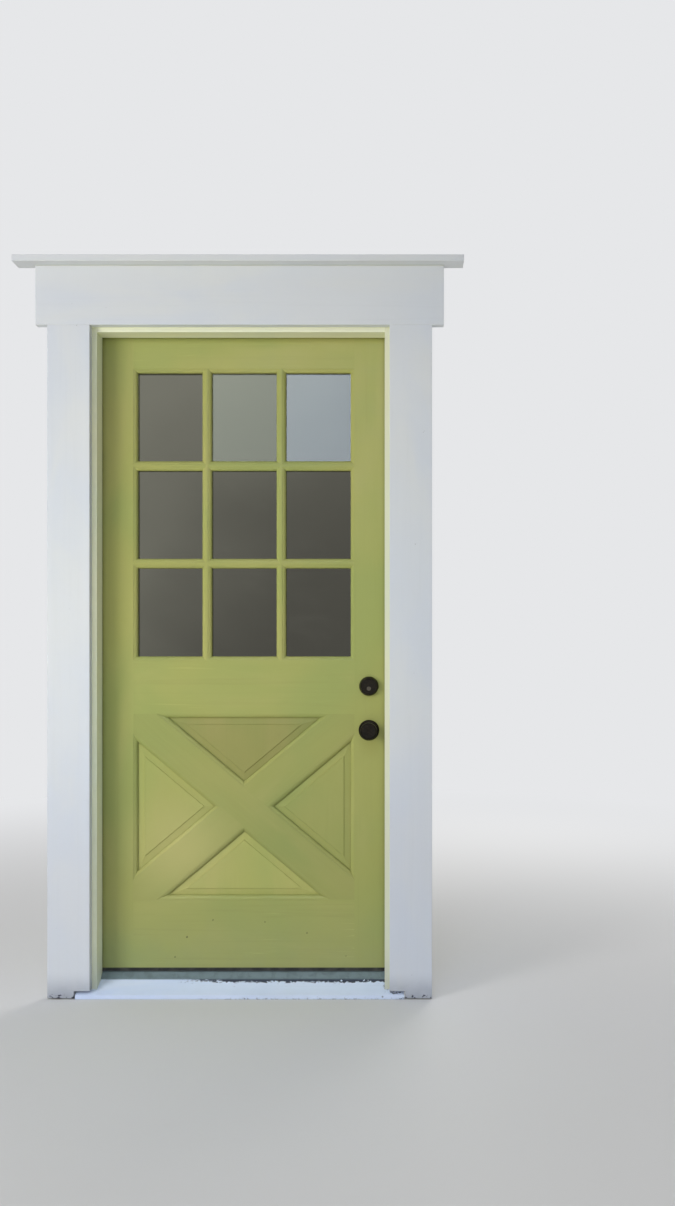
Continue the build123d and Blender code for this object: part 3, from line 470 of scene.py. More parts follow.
@dataclass(frozen=True)
class OpenJoint:
    """A dark ragged line along a joint across the doorway, open on its right-hand part."""

    colour: Colour
    joint: float
    width: float
    start: float

    WANDER: Fixed = 2.5
    FRONT_CORE: Fixed = 0.7
    BACK_REACH: Fixed = 0.3
    START_WANDER: Fixed = 0.3
    START_LENGTH: Fixed = 0.12

    def laid(self, graph: Graph, colour: Field) -> Field:
        """Draws the line over a colour.

        Args:
            graph: the material's graph.
            colour: the colour under it.

        Returns:
            The colour with the line.
        """
        ragged = graph.noise(graph.place(), scale=75.0, detail=4.0, warp=0.5)
        edge = graph.through() + (ragged - 0.5) * self.width * self.WANDER
        front = edge.ramp(self.joint - self.width, self.joint - self.width * self.FRONT_CORE)
        back = graph.through().ramp(self.joint + self.width * self.BACK_REACH, self.joint)
        side = graph.across() + ragged * self.START_WANDER
        opened = side.ramp(self.start, self.start + self.START_LENGTH)
        return graph.blend(front * back * opened, colour, self.colour)


@dataclass(frozen=True)
class FadedAndLitPatch:
    """A round patch of the front in a paler, warmer colour, strongest in its middle: weathered paint, and a
    painted pool of light.
    """

    colour: Colour
    mark: Triple

    def laid(self, graph: Graph, colour: Field) -> Field:
        """Lays the patch over a colour.

        Args:
            graph: the material's graph.
            colour: the colour under it.

        Returns:
            The colour with the patch.
        """
        across, height, radius = self.mark
        return graph.blend(graph.away_from(across, height).ramp(radius, 0.0), colour, self.colour)


@dataclass(frozen=True)
class Finish(ABC):
    """A finish that pieces can be given."""

    name: str

    @abstractmethod
    def shade(self, graph: Graph) -> Field:
        """Builds the finish and returns its shader."""

    def material(self) -> bpy.types.Material:
        """Makes a new material with this finish.

        Returns:
            The material.
        """
        material = bpy.data.materials.new(self.name)
        material.use_nodes = True
        graph = Graph(material.node_tree)
        graph.add("ShaderNodeOutputMaterial", None, {"Surface": self.shade(graph)})
        return material


@dataclass(frozen=True)
class BrushedPaint(Finish):
    """Paint brushed on timber, with the grain showing through."""

    tones: Tones
    run: Run
    grain: float
    roughness: float
    grime: Grime
    slope: float = 0.0
    flaking: Union[Flaking, None] = None
    streaks: float = 0.0
    nicks: float = 0.0
    chips: tuple[Triple, ...] = ()
    crack: Union[OpenJoint, None] = None
    faded_and_lit: Union[FadedAndLitPatch, None] = None

    # How many times a metre each pattern repeats, first along the timber and then across it.
    PATCHES: ClassVar[Triple] = (2.0, 7.0, 7.0)
    LAPS: ClassVar[Triple] = (4.0, 130.0, 130.0)
    STROKES: ClassVar[Triple] = (1.6, 60.0, 60.0)
    BRISTLES: ClassVar[Triple] = (9.0, 420.0, 420.0)

    # How much of each layer shows, and its tone as a share of the coat's.
    PATCH_SHARE: Fixed = 0.7
    STROKE_SHARE: Fixed = 0.3
    STROKE_TONE: Fixed = 0.88
    LAP_TONE: Fixed = 1.12
    # Painted shade: how far the crease shading looks round a point, and how much of the crease colour it lays
    # on.
    CREASE_SHADE_REACH: Fixed = 0.016
    CREASE_SHADE_SHARE: Fixed = 0.5
    DENT_SHARE: Fixed = 0.8
    DENT_TONE: Fixed = 0.5
    DENT_DEPTH: Fixed = 2.0
    SHEEN_DRIFT: Fixed = 0.18
    BARE_ROUGHNESS: Fixed = 0.35

    def tone(self, graph: Graph, along: Field, strokes: Field) -> Field:
        """The coat's colour, which drifts over the surface.

        Args:
            graph: the material's graph.
            along: the points, turned so that the timber's run lies level.
            strokes: the brush strokes' pattern.

        Returns:
            The colour.
        """
        place = graph.place()
        drift = graph.noise(place, scale=2.2, warp=0.4).ramp(0.36, 0.64)
        colour = graph.blend(drift, self.tones.coat, self.tones.cool)
        patches = graph.noise(graph.stretched(along, self.PATCHES), detail=3.0, warp=0.5).ramp(0.42, 0.72)
        colour = graph.blend(patches * self.PATCH_SHARE, colour, self.tones.warm)
        furrows = strokes.ramp(0.5, 0.8) * self.STROKE_SHARE * self.grain
        colour = graph.blend(furrows, colour, self.tones.coat.dimmed(self.STROKE_TONE))
        if self.streaks:
            laps = graph.noise(graph.stretched(along, self.LAPS), detail=3.0, warp=0.8).ramp(0.60, 0.74)
            lapped = graph.noise(place, scale=5.0, detail=1.0).ramp(0.4, 0.65)
            lap_tone = self.tones.warm.dimmed(self.LAP_TONE)
            colour = graph.blend(laps * lapped * self.streaks, colour, lap_tone)
        # The paler patch: partly weathered paint, partly a painted pool of light.
        if self.faded_and_lit:
            colour = self.faded_and_lit.laid(graph, colour)
        return colour

    def marked(self, graph: Graph, colour: Field, relief: Field) -> tuple[Field, Field]:
        """Lays nicks and chips over the coat.

        Args:
            graph: the material's graph.
            colour: the coat's colour.
            relief: the coat's relief.

        Returns:
            The marked colour and relief.
        """
        dents = []
        if self.nicks:
            nicks = graph.specks(graph.place(), scale=16.0, share=self.nicks, size=0.05)
            dents.append(nicks * graph.height().ramp(0.9, 0.2))
        if self.chips:
            dents.append(graph.spots(self.chips))
        for dent in dents:
            colour = graph.blend(dent * self.DENT_SHARE, colour, self.tones.coat.dimmed(self.DENT_TONE))
            relief = relief - dent * self.DENT_DEPTH
        return colour, relief

    def shade(self, graph: Graph) -> Field:
        """Builds the paint.

        Args:
            graph: the material's graph.

        Returns:
            The shader.
        """
        place = graph.place()
        along = graph.turned(place, self.run.angle(self.slope))
        strokes = graph.noise(graph.stretched(along, self.STROKES), detail=5.0, warp=1.1)
        bristles = graph.noise(graph.stretched(along, self.BRISTLES), detail=3.0, warp=0.4)
        blots = graph.noise(place, scale=21.0, detail=4.0, warp=0.4)
        colour = self.tone(graph, along, strokes)
        # Painted shade: hemmed-in creases take the crease colour in place of real shade.
        crease_shade = graph.creases(self.CREASE_SHADE_REACH).ramp(0.15, 0.95) * self.CREASE_SHADE_SHARE
        colour = graph.blend(crease_shade, colour, self.tones.crease)
        colour = self.grime.laid(graph, colour, blots)
        colour, relief = self.marked(graph, colour, strokes * 0.6 * self.grain + bristles * 0.4)
        rough = self.roughness + (blots - 0.5) * self.SHEEN_DRIFT
        normal = graph.bump(relief, depth=0.0004, strength=0.5)
        if self.flaking:
            bare = self.flaking.mask(graph)
            colour = graph.blend(bare, colour, self.flaking.timber(graph, bristles))
            rough = (rough + bare * self.BARE_ROUGHNESS).ramp(0.0, 1.0)
            normal = graph.bump(1 - bare, depth=0.0006, under=normal)
        if self.crack:
            colour = self.crack.laid(graph, colour)
        sockets = {"Base Color": colour, "Roughness": rough, "Normal": normal, "Specular IOR Level": 0.35}
        return graph.add("ShaderNodeBsdfPrincipled", None, sockets)


@dataclass(frozen=True)
class WornMetal(Finish):
    """Metal with brushing, dull patches, small pits and edges rubbed bright."""

    metal: Colour
    dull: Colour
    rubbed: Colour
    rubbing: float
    metallic: float
    roughness: float
    brushing: Triple

    EDGE_REACH: Fixed = 0.0025
    LINE_SHARE: Fixed = 0.25
    PIT_SHARE: Fixed = 0.5
    PIT_TONE: Fixed = 0.5
    PATCH_ROUGHNESS: Fixed = 0.3
    LINE_ROUGHNESS: Fixed = 0.12
    EDGE_POLISH: Fixed = 0.08

    def shade(self, graph: Graph) -> Field:
        """Builds the metal.

        Args:
            graph: the material's graph.

        Returns:
            The shader.
        """
        place = graph.place()
        lines = graph.noise(graph.stretched(place, self.brushing), detail=3.0)
        patches = graph.noise(place, scale=38.0, detail=4.0, warp=0.6)
        pits = graph.specks(place, scale=420.0, share=0.3, size=0.16)
        edge = graph.creases(self.EDGE_REACH, inside=True).ramp(0.35, 0.8) * patches.ramp(0.35, 0.6)
        colour = graph.blend(patches.ramp(0.4, 0.7), self.metal, self.dull)
        colour = graph.blend(lines.ramp(0.4, 0.8) * self.LINE_SHARE, colour, self.rubbed)
        colour = graph.blend(edge * self.rubbing, colour, self.rubbed)
        colour = graph.blend(pits * self.PIT_SHARE, colour, self.metal.dimmed(self.PIT_TONE))
        dulled = (patches - 0.5) * self.PATCH_ROUGHNESS
        scored = (lines - 0.5) * self.LINE_ROUGHNESS
        rough = self.roughness + dulled + scored - edge * self.EDGE_POLISH
        normal = graph.bump(lines * 0.5 + patches * 0.5 - pits, depth=0.00012, strength=0.5)
        sockets = {"Base Color": colour, "Metallic": self.metallic, "Roughness": rough, "Normal": normal}
        return graph.add("ShaderNodeBsdfPrincipled", None, sockets)


@dataclass(frozen=True)
class WindowGlass(Finish):
    """Glass whose colour paints in the dim room behind it, with painted light that is brightest high up on
    the left, and a film of dust.
    """

    # Painted shade and light: the room's lit tone and its dark tone, laid into the glass.
    tint: Colour
    deep: Colour
    film: Colour
    dust: float

    SMEARS: ClassVar[Triple] = (5.0, 5.0, 11.0)
    SMEAR_ROUGHNESS: Fixed = 0.03
    REFRACTION: Fixed = 1.5
    FILM_ROUGHNESS: Fixed = 0.8
    EDGE_REACH: Fixed = 0.020
    GRIT_SHARE: Fixed = 0.2

    def room(self, graph: Graph) -> Field:
        """The painted tone of the dim room behind the glass, with painted light: lightest high up on the
        left.

        Args:
            graph: the material's graph.

        Returns:
            The colour.
        """
        clouds = graph.noise(graph.place(), scale=1.7, warp=0.3)
        # Painted light: the room's tone is lifted high up and to the left, and sinks low and to the right.
        light = clouds * 0.5 + graph.height() * 0.6 - graph.across() * 0.7
        return graph.blend(light.ramp(0.72, 1.75), self.deep, self.tint)

    def shade(self, graph: Graph) -> Field:
        """Builds the glass and the film on it.

        Args:
            graph: the material's graph.

        Returns:
            The shader.
        """
        place = graph.place()
        smears = graph.noise(graph.stretched(place, self.SMEARS), detail=4.0, warp=1.2)
        waves = graph.noise(place, scale=7.0)
        sockets = {
            "Base Color": self.room(graph),
            "Roughness": smears * self.SMEAR_ROUGHNESS,
            "IOR": self.REFRACTION,
            "Transmission Weight": 1.0,
            "Normal": graph.bump(waves, depth=0.0014, strength=0.35),
        }
        glass = graph.add("ShaderNodeBsdfPrincipled", None, sockets)
        matt = {"Base Color": self.film, "Roughness": self.FILM_ROUGHNESS}
        film = graph.add("ShaderNodeBsdfPrincipled", None, matt)
        edge = graph.creases(self.EDGE_REACH).ramp(0.3, 0.9)
        grit = graph.specks(place, scale=160.0, share=0.12, size=0.12)
        share = smears.ramp(0.5, 0.8) * self.dust + edge * self.dust + grit * self.GRIT_SHARE
        return graph.add("ShaderNodeMixShader", None, {0: share, 1: glass, 2: film})


@dataclass(frozen=True)
class Rubber(Finish):
    """Matt rubber seal with dust in its folds."""

    body: Colour
    dust: Colour

    FOLD_REACH: Fixed = 0.006
    BLOT_SHARE: Fixed = 0.35
    FOLD_SHARE: Fixed = 0.3
    ROUGHNESS: Fixed = 0.72
    ROUGHNESS_DRIFT: Fixed = 0.15

    def shade(self, graph: Graph) -> Field:
        """Builds the rubber.

        Args:
            graph: the material's graph.

        Returns:
            The shader.
        """
        place = graph.place()
        blots = graph.noise(place, scale=30.0, detail=4.0, warp=0.3)
        grains = graph.noise(place, scale=900.0)
        share = blots.ramp(0.4, 0.75) * self.BLOT_SHARE + graph.creases(self.FOLD_REACH) * self.FOLD_SHARE
        sockets = {
            "Base Color": graph.blend(share, self.body, self.dust),
            "Roughness": self.ROUGHNESS + blots * self.ROUGHNESS_DRIFT,
            "Normal": graph.bump(grains, depth=0.0001, strength=0.6),
        }
        return graph.add("ShaderNodeBsdfPrincipled", None, sockets)


class PaintShop:
    """Gives pieces their finishes and makes each finish's material only once."""

    def __init__(self) -> None:
        """Starts with no material made."""
        self.made: dict[Finish, bpy.types.Material] = {}

    def material(self, finish: Finish) -> bpy.types.Material:
        """Finds the one material with a finish, or makes it.

        Args:
            finish: the finish.

        Returns:
            The material.
        """
        if finish not in self.made:
            self.made[finish] = finish.material()
        return self.made[finish]

    def coat(self, pieces: list[bpy.types.Object], finish: Finish) -> None:
        """Gives pieces a finish.

        Args:
            pieces: the pieces.
            finish: their finish.
        """
        for piece in pieces:
            piece.data.materials.clear()
            piece.data.materials.append(self.material(finish))
            LOG.info("%s has the finish %s", piece.name, finish.name)

    def coat_nodes(self, names: tuple[str, ...], finish: Finish) -> None:
        """Gives the CAD nodes of those names a finish."""
        self.coat([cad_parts[name] for name in names], finish)


@dataclass
class Leaf:
    """The swinging leaf: stiles, rails, braces, raised panels, muntins, beads and sweep."""

    uprights: tuple[str, ...] = ("hinge_stile", "lock_stile", "upright_muntin_1", "upright_muntin_2")
    levels: tuple[str, ...] = ("top_rail", "lock_rail", "cross_muntins", "glazing_beads")
    rising: tuple[str, ...] = ("upper_short_brace", "lower_short_brace")
    falling: tuple[str, ...] = ("long_brace",)
    # Painted shade: the braces' coat is dimmed a little below the rest of the leaf.
    brace_painted_shade: float = 0.97
    # Each panel's name, and the strength and warmth of its coat, which paint in light and shade: the bottom
    # and hinge-side panels lighter, the top panel darker.
    panels: tuple[tuple[str, float, float], ...] = (
        ("top_panel", 0.89, 1.02), ("bottom_panel", 1.07, 1.02),
        ("hinge_side_panel", 1.03, 1.02), ("lock_side_panel", 0.98, 1.0),
    )
    # The fourth colour is painted shade: the deep olive laid into the leaf's creases.
    green: Tones = Tones(
        Colour(160, 162, 92), Colour(151, 159, 91), Colour(168, 166, 100), Colour(124, 128, 48)
    )
    # Painted light: a pale patch low on the leaf's hinge side, partly weathered paint and partly the pool of
    # light that falls there.
    faded_and_lit: Colour = Colour(180, 176, 110)
    dirt: Colour = Colour(142, 151, 112)
    # Round marks of the photograph: distance from its left edge and its top edge, and radius, in pixels.
    faded_and_lit_place: Triple = (180.0, 850.0, 78.0)
    chip_places: tuple[Triple, ...] = (
        (187.0, 937.0, 1.1), (213.0, 920.0, 0.8), (175.0, 957.0, 0.9), (307.0, 933.0, 0.9),
        (346.0, 956.0, 0.7),
    )

    def slope(self) -> float:
        """The braces' slope in radians, from the long brace's reach."""
        low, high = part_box(self.falling[0])
        return math.atan2(high.z - low.z, high.x - low.x)

    def on_face(self, mark: Triple) -> Triple:
        """A round mark of the photograph, carried onto the leaf's outer face."""
        face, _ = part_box("bottom_rail")
        return PhotoView().on_wall(mark, face.y)

    def paint(
        self, name: str, run: Run, grain: float, strength: float = 1.0, warmth: float = 1.0, **marks: Any
    ) -> BrushedPaint:
        """The leaf's paint where the timber runs one way.

        Args:
            name: what the finish is for.
            run: the timber's run.
            grain: how strongly the grain shows.
            strength: how bright the coat is, as a share of the usual one; on the panels and braces this
                paints in light and shade.
            warmth: how red the coat is, as a share of the usual one; on the panels it tints their painted
                light.
            **marks: the finish's own marks, such as streaks or chips.

        Returns:
            The finish.
        """
        return BrushedPaint(
            f"door_paint_{name}", self.green.dimmed(strength, warmth), run, grain, roughness=0.42,
            grime=Grime(self.dirt, reach=0.35, strength=0.45), slope=self.slope(),
            faded_and_lit=FadedAndLitPatch(self.faded_and_lit, self.on_face(self.faded_and_lit_place)), **marks,
        )

    def dress(self, shop: PaintShop) -> None:
        """Paints the leaf's timbers along their grain.

        Args:
            shop: the shop that paints them.
        """
        shop.coat_nodes(self.uprights, self.paint("upright", Run.UPRIGHT, grain=0.7, nicks=0.10))
        # Painted light and shade: each panel's coat is brightened or dimmed by its own strength.
        for panel, strength, warmth in self.panels:
            raised = self.paint(panel, Run.UPRIGHT, 0.35, strength, warmth, nicks=0.08)
            shop.coat_nodes((panel,), raised)
        shop.coat_nodes(self.levels, self.paint("level", Run.LEVEL, grain=0.8, streaks=0.3))
        chips = tuple(self.on_face(mark) for mark in self.chip_places)
        bottom = self.paint("bottom", Run.LEVEL, grain=1.3, streaks=0.9, nicks=0.10, chips=chips)
        shop.coat_nodes(("bottom_rail",), bottom)
        for braces, run in ((self.rising, Run.RISING), (self.falling, Run.FALLING)):
            sloping = self.paint(run.name.lower(), run, 0.7, self.brace_painted_shade, streaks=0.2, nicks=0.08)
            shop.coat_nodes(braces, sloping)
        sweep = Rubber("sweep_rubber", body=Colour(42, 42, 42), dust=Colour(110, 108, 100))
        shop.coat_nodes(("door_sweep",), sweep)


@dataclass
class Glazing:
    """The panes of the divided light."""

    rows: int = 3
    columns: int = 3
    # Painted shade and light: the panes' colours stand in for the dim room seen through them, its lit tone
    # and its dark tone.
    tint: Colour = Colour(124, 123, 108)
    deep: Colour = Colour(62, 60, 48)
    film: Colour = Colour(150, 150, 140)
    dust: float = 0.03

    def dress(self, shop: PaintShop) -> None:
        """Glazes each light.

        Args:
            shop: the shop that gives the panes their glass.
        """
        names = tuple(
            f"pane_{row}_{column}" for row in range(1, self.rows + 1) for column in range(1, self.columns + 1)
        )
        shop.coat_nodes(names, WindowGlass("pane_glass", self.tint, self.deep, self.film, self.dust))


@dataclass
class Surround:
    """What stays on the wall: jambs, casings, cap, sill, threshold and weatherstrip."""

    casings: tuple[str, ...] = ("hinge_side_casing", "strike_side_casing")
    # The fourth colour is painted light: a pale yellow glow laid into the white paint's creases, as from
    # light bounced up off the ground.
    white: Tones = Tones(
        Colour(208, 211, 216), Colour(203, 208, 217), Colour(211, 213, 214), Colour(224, 225, 200)
    )
    # Painted light: the jambs' white paint is tinted yellow-green and brightened to stand in for light
    # bouncing into the reveal.
    bounce_lit_cream: Tones = Tones(
        Colour(227, 228, 203), Colour(223, 227, 203), Colour(230, 229, 196), Colour(216, 217, 160)
    )
    # Partly painted light: pale blue-grey paint, its blue and brightness pushed up to paint in the sky light
    # on the sill.
    blue: Tones = Tones(
        Colour(222, 234, 253), Colour(212, 226, 252), Colour(228, 236, 250), Colour(150, 164, 200)
    )
    soil: Colour = Colour(122, 128, 142)
    timber: Colour = Colour(66, 68, 84)
    crack: Colour = Colour(62, 68, 84)
    flake_scale: float = 95.0

    def white_paint(self, run: Run, soiling: float) -> BrushedPaint:
        """The casings' white paint.

        Args:
            run: the boards' run.
            soiling: how strongly splashed dirt shows.

        Returns:
            The finish.
        """
        return BrushedPaint(
            f"white_paint_{run.name.lower()}", self.white, run, grain=0.3, roughness=0.45,
            grime=Grime(self.soil, reach=0.09, strength=soiling),
            flaking=Flaking(self.timber, self.flake_scale, foot_reach=0.034, foot=0.27), nicks=0.06,
        )

    def jamb_paint(self, run: Run, strength: float = 1.0) -> BrushedPaint:
        """The jambs' paint: white paint turned pale cream and brightened, which paints in the light that
        bounces into the reveal from the door and the ground.

        Args:
            run: the timber's run.
            strength: how bright the coat is, as a share of the usual one, which paints in light and shade:
                the hinge jamb lighter, the strike jamb darker.

        Returns:
            The finish.
        """
        return BrushedPaint(
            f"jamb_paint_{run.name.lower()}", self.bounce_lit_cream.dimmed(strength), run, grain=0.3, roughness=0.45,
            grime=Grime(self.soil, reach=0.16, strength=0.4),
        )

    def sill_paint(self) -> BrushedPaint:
        """The sill's paint, flaked along its arris and cracked open along the threshold.

        Returns:
            The finish.
        """
        joint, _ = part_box("threshold")
        return BrushedPaint(
            "sill_paint", self.blue, Run.LEVEL, grain=0.6, roughness=0.5,
            grime=Grime(self.soil, reach=0.05, strength=0.2),
            flaking=Flaking(self.timber, self.flake_scale, arris=0.21, joint=0.25), nicks=0.12,
            crack=OpenJoint(self.crack, joint.y, width=0.014, start=-0.05),
        )

    def dress(self, shop: PaintShop) -> None:
        """Paints the frame's timbers, dulls the threshold's metal and gives the weatherstrip its rubber.

        Args:
            shop: the shop that finishes them.
        """
        # Painted light and shade: the hinge jamb's coat is brightened and the strike jamb's dimmed, as the
        # light falls from the left.
        shop.coat_nodes(("hinge_jamb",), self.jamb_paint(Run.UPRIGHT, strength=1.06))
        shop.coat_nodes(("strike_jamb",), self.jamb_paint(Run.UPRIGHT, strength=0.94))
        shop.coat_nodes(("head_jamb",), self.jamb_paint(Run.LEVEL))
        shop.coat_nodes(self.casings, self.white_paint(Run.UPRIGHT, soiling=0.7))
        shop.coat_nodes(("head_casing", "cap"), self.white_paint(Run.LEVEL, soiling=0.0))
        shop.coat_nodes(("sill",), self.sill_paint())
        threshold = WornMetal(
            "threshold_metal", Colour(112, 129, 132), Colour(100, 115, 118), Colour(132, 142, 146),
            rubbing=0.4, metallic=0.3, roughness=0.5, brushing=(14.0, 700.0, 700.0),
        )
        shop.coat_nodes(("threshold",), threshold)
        strip = Rubber("strip_rubber", body=Colour(58, 60, 52), dust=Colour(112, 112, 96))
        shop.coat_nodes(("weatherstrip",), strip)


@dataclass
class Hinges:
    """Three butt hinges with their pins and screws."""

    places: tuple[str, ...] = ("top", "middle", "bottom")
    owners: tuple[str, ...] = ("jamb", "door")

    def dress(self, shop: PaintShop) -> None:
        """Gives the hinges and all screws satin steel.

        Args:
            shop: the shop that finishes them.
        """
        steel = WornMetal(
            "hinge_steel", Colour(150, 146, 138), Colour(118, 112, 104), Colour(190, 186, 178),
            rubbing=0.6, metallic=1.0, roughness=0.36, brushing=(500.0, 500.0, 18.0),
        )
        leaves = tuple(f"{owner}_hinge_leaf_{place}" for owner in self.owners for place in self.places)
        shop.coat_nodes(leaves + ("hinge_pins", "frame_screws", "leaf_screws"), steel)


@dataclass
class LockSet:
    """Knobs, deadbolt, cases, bolts and strikes."""

    dark: tuple[str, ...] = (
        "outer_knob", "inner_knob", "outer_rose", "inner_rose",
        "deadbolt_cylinder", "deadbolt_rose", "thumb_turn",
    )
    plates: tuple[str, ...] = ("latch_strike", "deadbolt_strike", "latch_case", "deadbolt_case")
    bolts: tuple[str, ...] = ("latch_bolt", "deadbolt")

    def dress(self, shop: PaintShop) -> None:
        """Gives the lock pieces dark bronze, steel and brass.

        Args:
            shop: the shop that finishes them.
        """
        bronze = WornMetal(
            "dark_bronze", Colour(36, 34, 29), Colour(27, 25, 22), Colour(84, 66, 48),
            rubbing=0.3, metallic=0.85, roughness=0.46, brushing=(260.0, 260.0, 260.0),
        )
        steel = WornMetal(
            "plate_steel", Colour(140, 134, 126), Colour(108, 102, 96), Colour(178, 172, 164),
            rubbing=0.6, metallic=1.0, roughness=0.38, brushing=(500.0, 500.0, 22.0),
        )
        polished = WornMetal(
            "bolt_steel", Colour(186, 184, 180), Colour(160, 157, 152), Colour(212, 210, 206),
            rubbing=0.5, metallic=1.0, roughness=0.26, brushing=(18.0, 500.0, 500.0),
        )
        brass = WornMetal(
            "plug_brass", Colour(100, 95, 84), Colour(70, 65, 55), Colour(138, 130, 112),
            rubbing=0.5, metallic=1.0, roughness=0.38, brushing=(400.0, 400.0, 400.0),
        )
        shop.coat_nodes(self.dark, bronze)
        shop.coat_nodes(self.plates, steel)
        shop.coat_nodes(self.bolts, polished)
        shop.coat_nodes(("key_plug",), brass)


@dataclass
class PaintFlakes:
    """Curls of peeling paint that cling to the sill beside the threshold."""

    count: int = 34
    smallest: float = 0.003
    largest: float = 0.010
    thickness: float = 0.0004
    rim_points: int = 9
    rim_jitter: float = 0.3
    rim_low: float = 0.6
    rim_high: float = 1.2
    narrowness: float = 0.7
    curl_low: float = 0.10
    curl_high: float = 0.35
    spread: float = 0.55
    band: float = 0.012
    seed: int = 7
    # Partly painted light: the flakes take the sill's blue, pushed up to paint in the sky light.
    tones: Tones = Tones(
        Colour(226, 236, 252), Colour(206, 216, 240), Colour(232, 238, 250), Colour(190, 202, 228)
    )
    dirt: Colour = Colour(150, 160, 184)

    def outline(self, chance: random.Random, reach: float) -> list[tuple[float, float]]:
        """A flake's ragged outline.

        Args:
            chance: the source of chance.
            reach: the flake's mean radius.

        Returns:
            The outline's points in the flake's own plane.
        """
        points = []
        for index in range(self.rim_points):
            jitter = chance.uniform(-self.rim_jitter, self.rim_jitter)
            angle = 2 * math.pi * (index + jitter) / self.rim_points
            radius = reach * chance.uniform(self.rim_low, self.rim_high)
            points.append((radius * math.cos(angle), radius * math.sin(angle) * self.narrowness))
        return points

    def add_flake(self, mesh: bmesh.types.BMesh, chance: random.Random, spot: Vector, up: Vector) -> None:
        """Adds one curled flake.

        Args:
            mesh: the mesh that it joins.
            chance: the source of chance.
            spot: the point that it clings to.
            up: the surface's direction there.
        """
        reach = chance.uniform(self.smallest, self.largest) / 2
        curl = chance.uniform(self.curl_low, self.curl_high) / reach
        tilt = up.to_track_quat("Z", "Y").to_matrix().to_4x4()
        stand = Matrix.Translation(spot) @ tilt @ Matrix.Rotation(chance.uniform(0.0, math.tau), 4, "Z")
        sides = []
        outline = self.outline(chance, reach)
        for lift in (0.0, self.thickness):
            centre = mesh.verts.new(stand @ Vector((0.0, 0.0, lift)))
            rim = [mesh.verts.new(stand @ Vector((x, y, lift + curl * x * x))) for x, y in outline]
            sides.append((centre, rim))
        (low_centre, low_rim), (high_centre, high_rim) = sides
        for index in range(self.rim_points):
            after = (index + 1) % self.rim_points
            mesh.faces.new((high_centre, high_rim[index], high_rim[after]))
            mesh.faces.new((low_centre, low_rim[after], low_rim[index]))
            mesh.faces.new((low_rim[index], low_rim[after], high_rim[after], high_rim[index]))

    def build(self) -> bpy.types.Object:
        """Scatters the flakes on the sill, along the lock side's part of the joint.

        Returns:
            The flakes as one piece.
        """
        chance = random.Random(self.seed)
        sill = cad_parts["sill"].data
        surface = BVHTree.FromPolygons(
            [vertex.co for vertex in sill.vertices], [tuple(face.vertices) for face in sill.polygons]
        )
        low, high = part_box("threshold")
        mesh = bmesh.new()
        points_each = 2 * self.rim_points + 2
        while self.count > len(mesh.verts) // points_each:
            x = high.x - (high.x - low.x) * self.spread * chance.random()
            y = low.y - abs(chance.gauss(0.0, self.band)) - self.largest / 2
            spot, up, _, _ = surface.ray_cast(Vector((x, y, high.z)), Vector((0.0, 0.0, -1.0)))
            if spot is not None:
                self.add_flake(mesh, chance, spot, up)
        data = bpy.data.meshes.new("sill_paint_flakes")
        mesh.to_mesh(data)
        mesh.free()
        flakes = bpy.data.objects.new("sill_paint_flakes", data)
        bpy.context.scene.collection.objects.link(flakes)
        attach(flakes, "frame")
        return flakes

    def dress(self, shop: PaintShop) -> None:
        """Builds the flakes and gives them paint like the sill's, dirtied.

        Args:
            shop: the shop that paints them.
        """
        flake_paint = BrushedPaint(
            "flake_paint", self.tones, Run.LEVEL, grain=0.4, roughness=0.6,
            grime=Grime(self.dirt, reach=0.08, strength=0.2),
        )
        shop.coat([self.build()], flake_paint)


@dataclass(frozen=True)
class Lamp:
    """One soft box of the studio, which lights surfaces or shows as a glint in glossy ones."""

    name: str
    place: Triple
    aim: Triple
    width: float
    height: float
    power: float
    tint: Triple
    spread: float = math.pi
    lights: bool = True
    glints: bool = False

    def build(self) -> None:
        """Hangs the soft box and turns it to what it lights."""
        data = bpy.data.lights.new(self.name, "AREA")
        data.shape = "RECTANGLE"
        data.size = self.width
        data.size_y = self.height
        data.spread = self.spread
        data.energy = self.power
        data.color = self.tint
        lamp = bpy.data.objects.new(self.name, data)
        lamp.location = self.place
        lamp.rotation_euler = (Vector(self.aim) - Vector(self.place)).to_track_quat("-Z", "Y").to_euler()
        lamp.visible_camera = False
        lamp.visible_diffuse = self.lights
        lamp.visible_glossy = self.glints
        lamp.visible_transmission = self.glints
        bpy.context.scene.collection.objects.link(lamp)


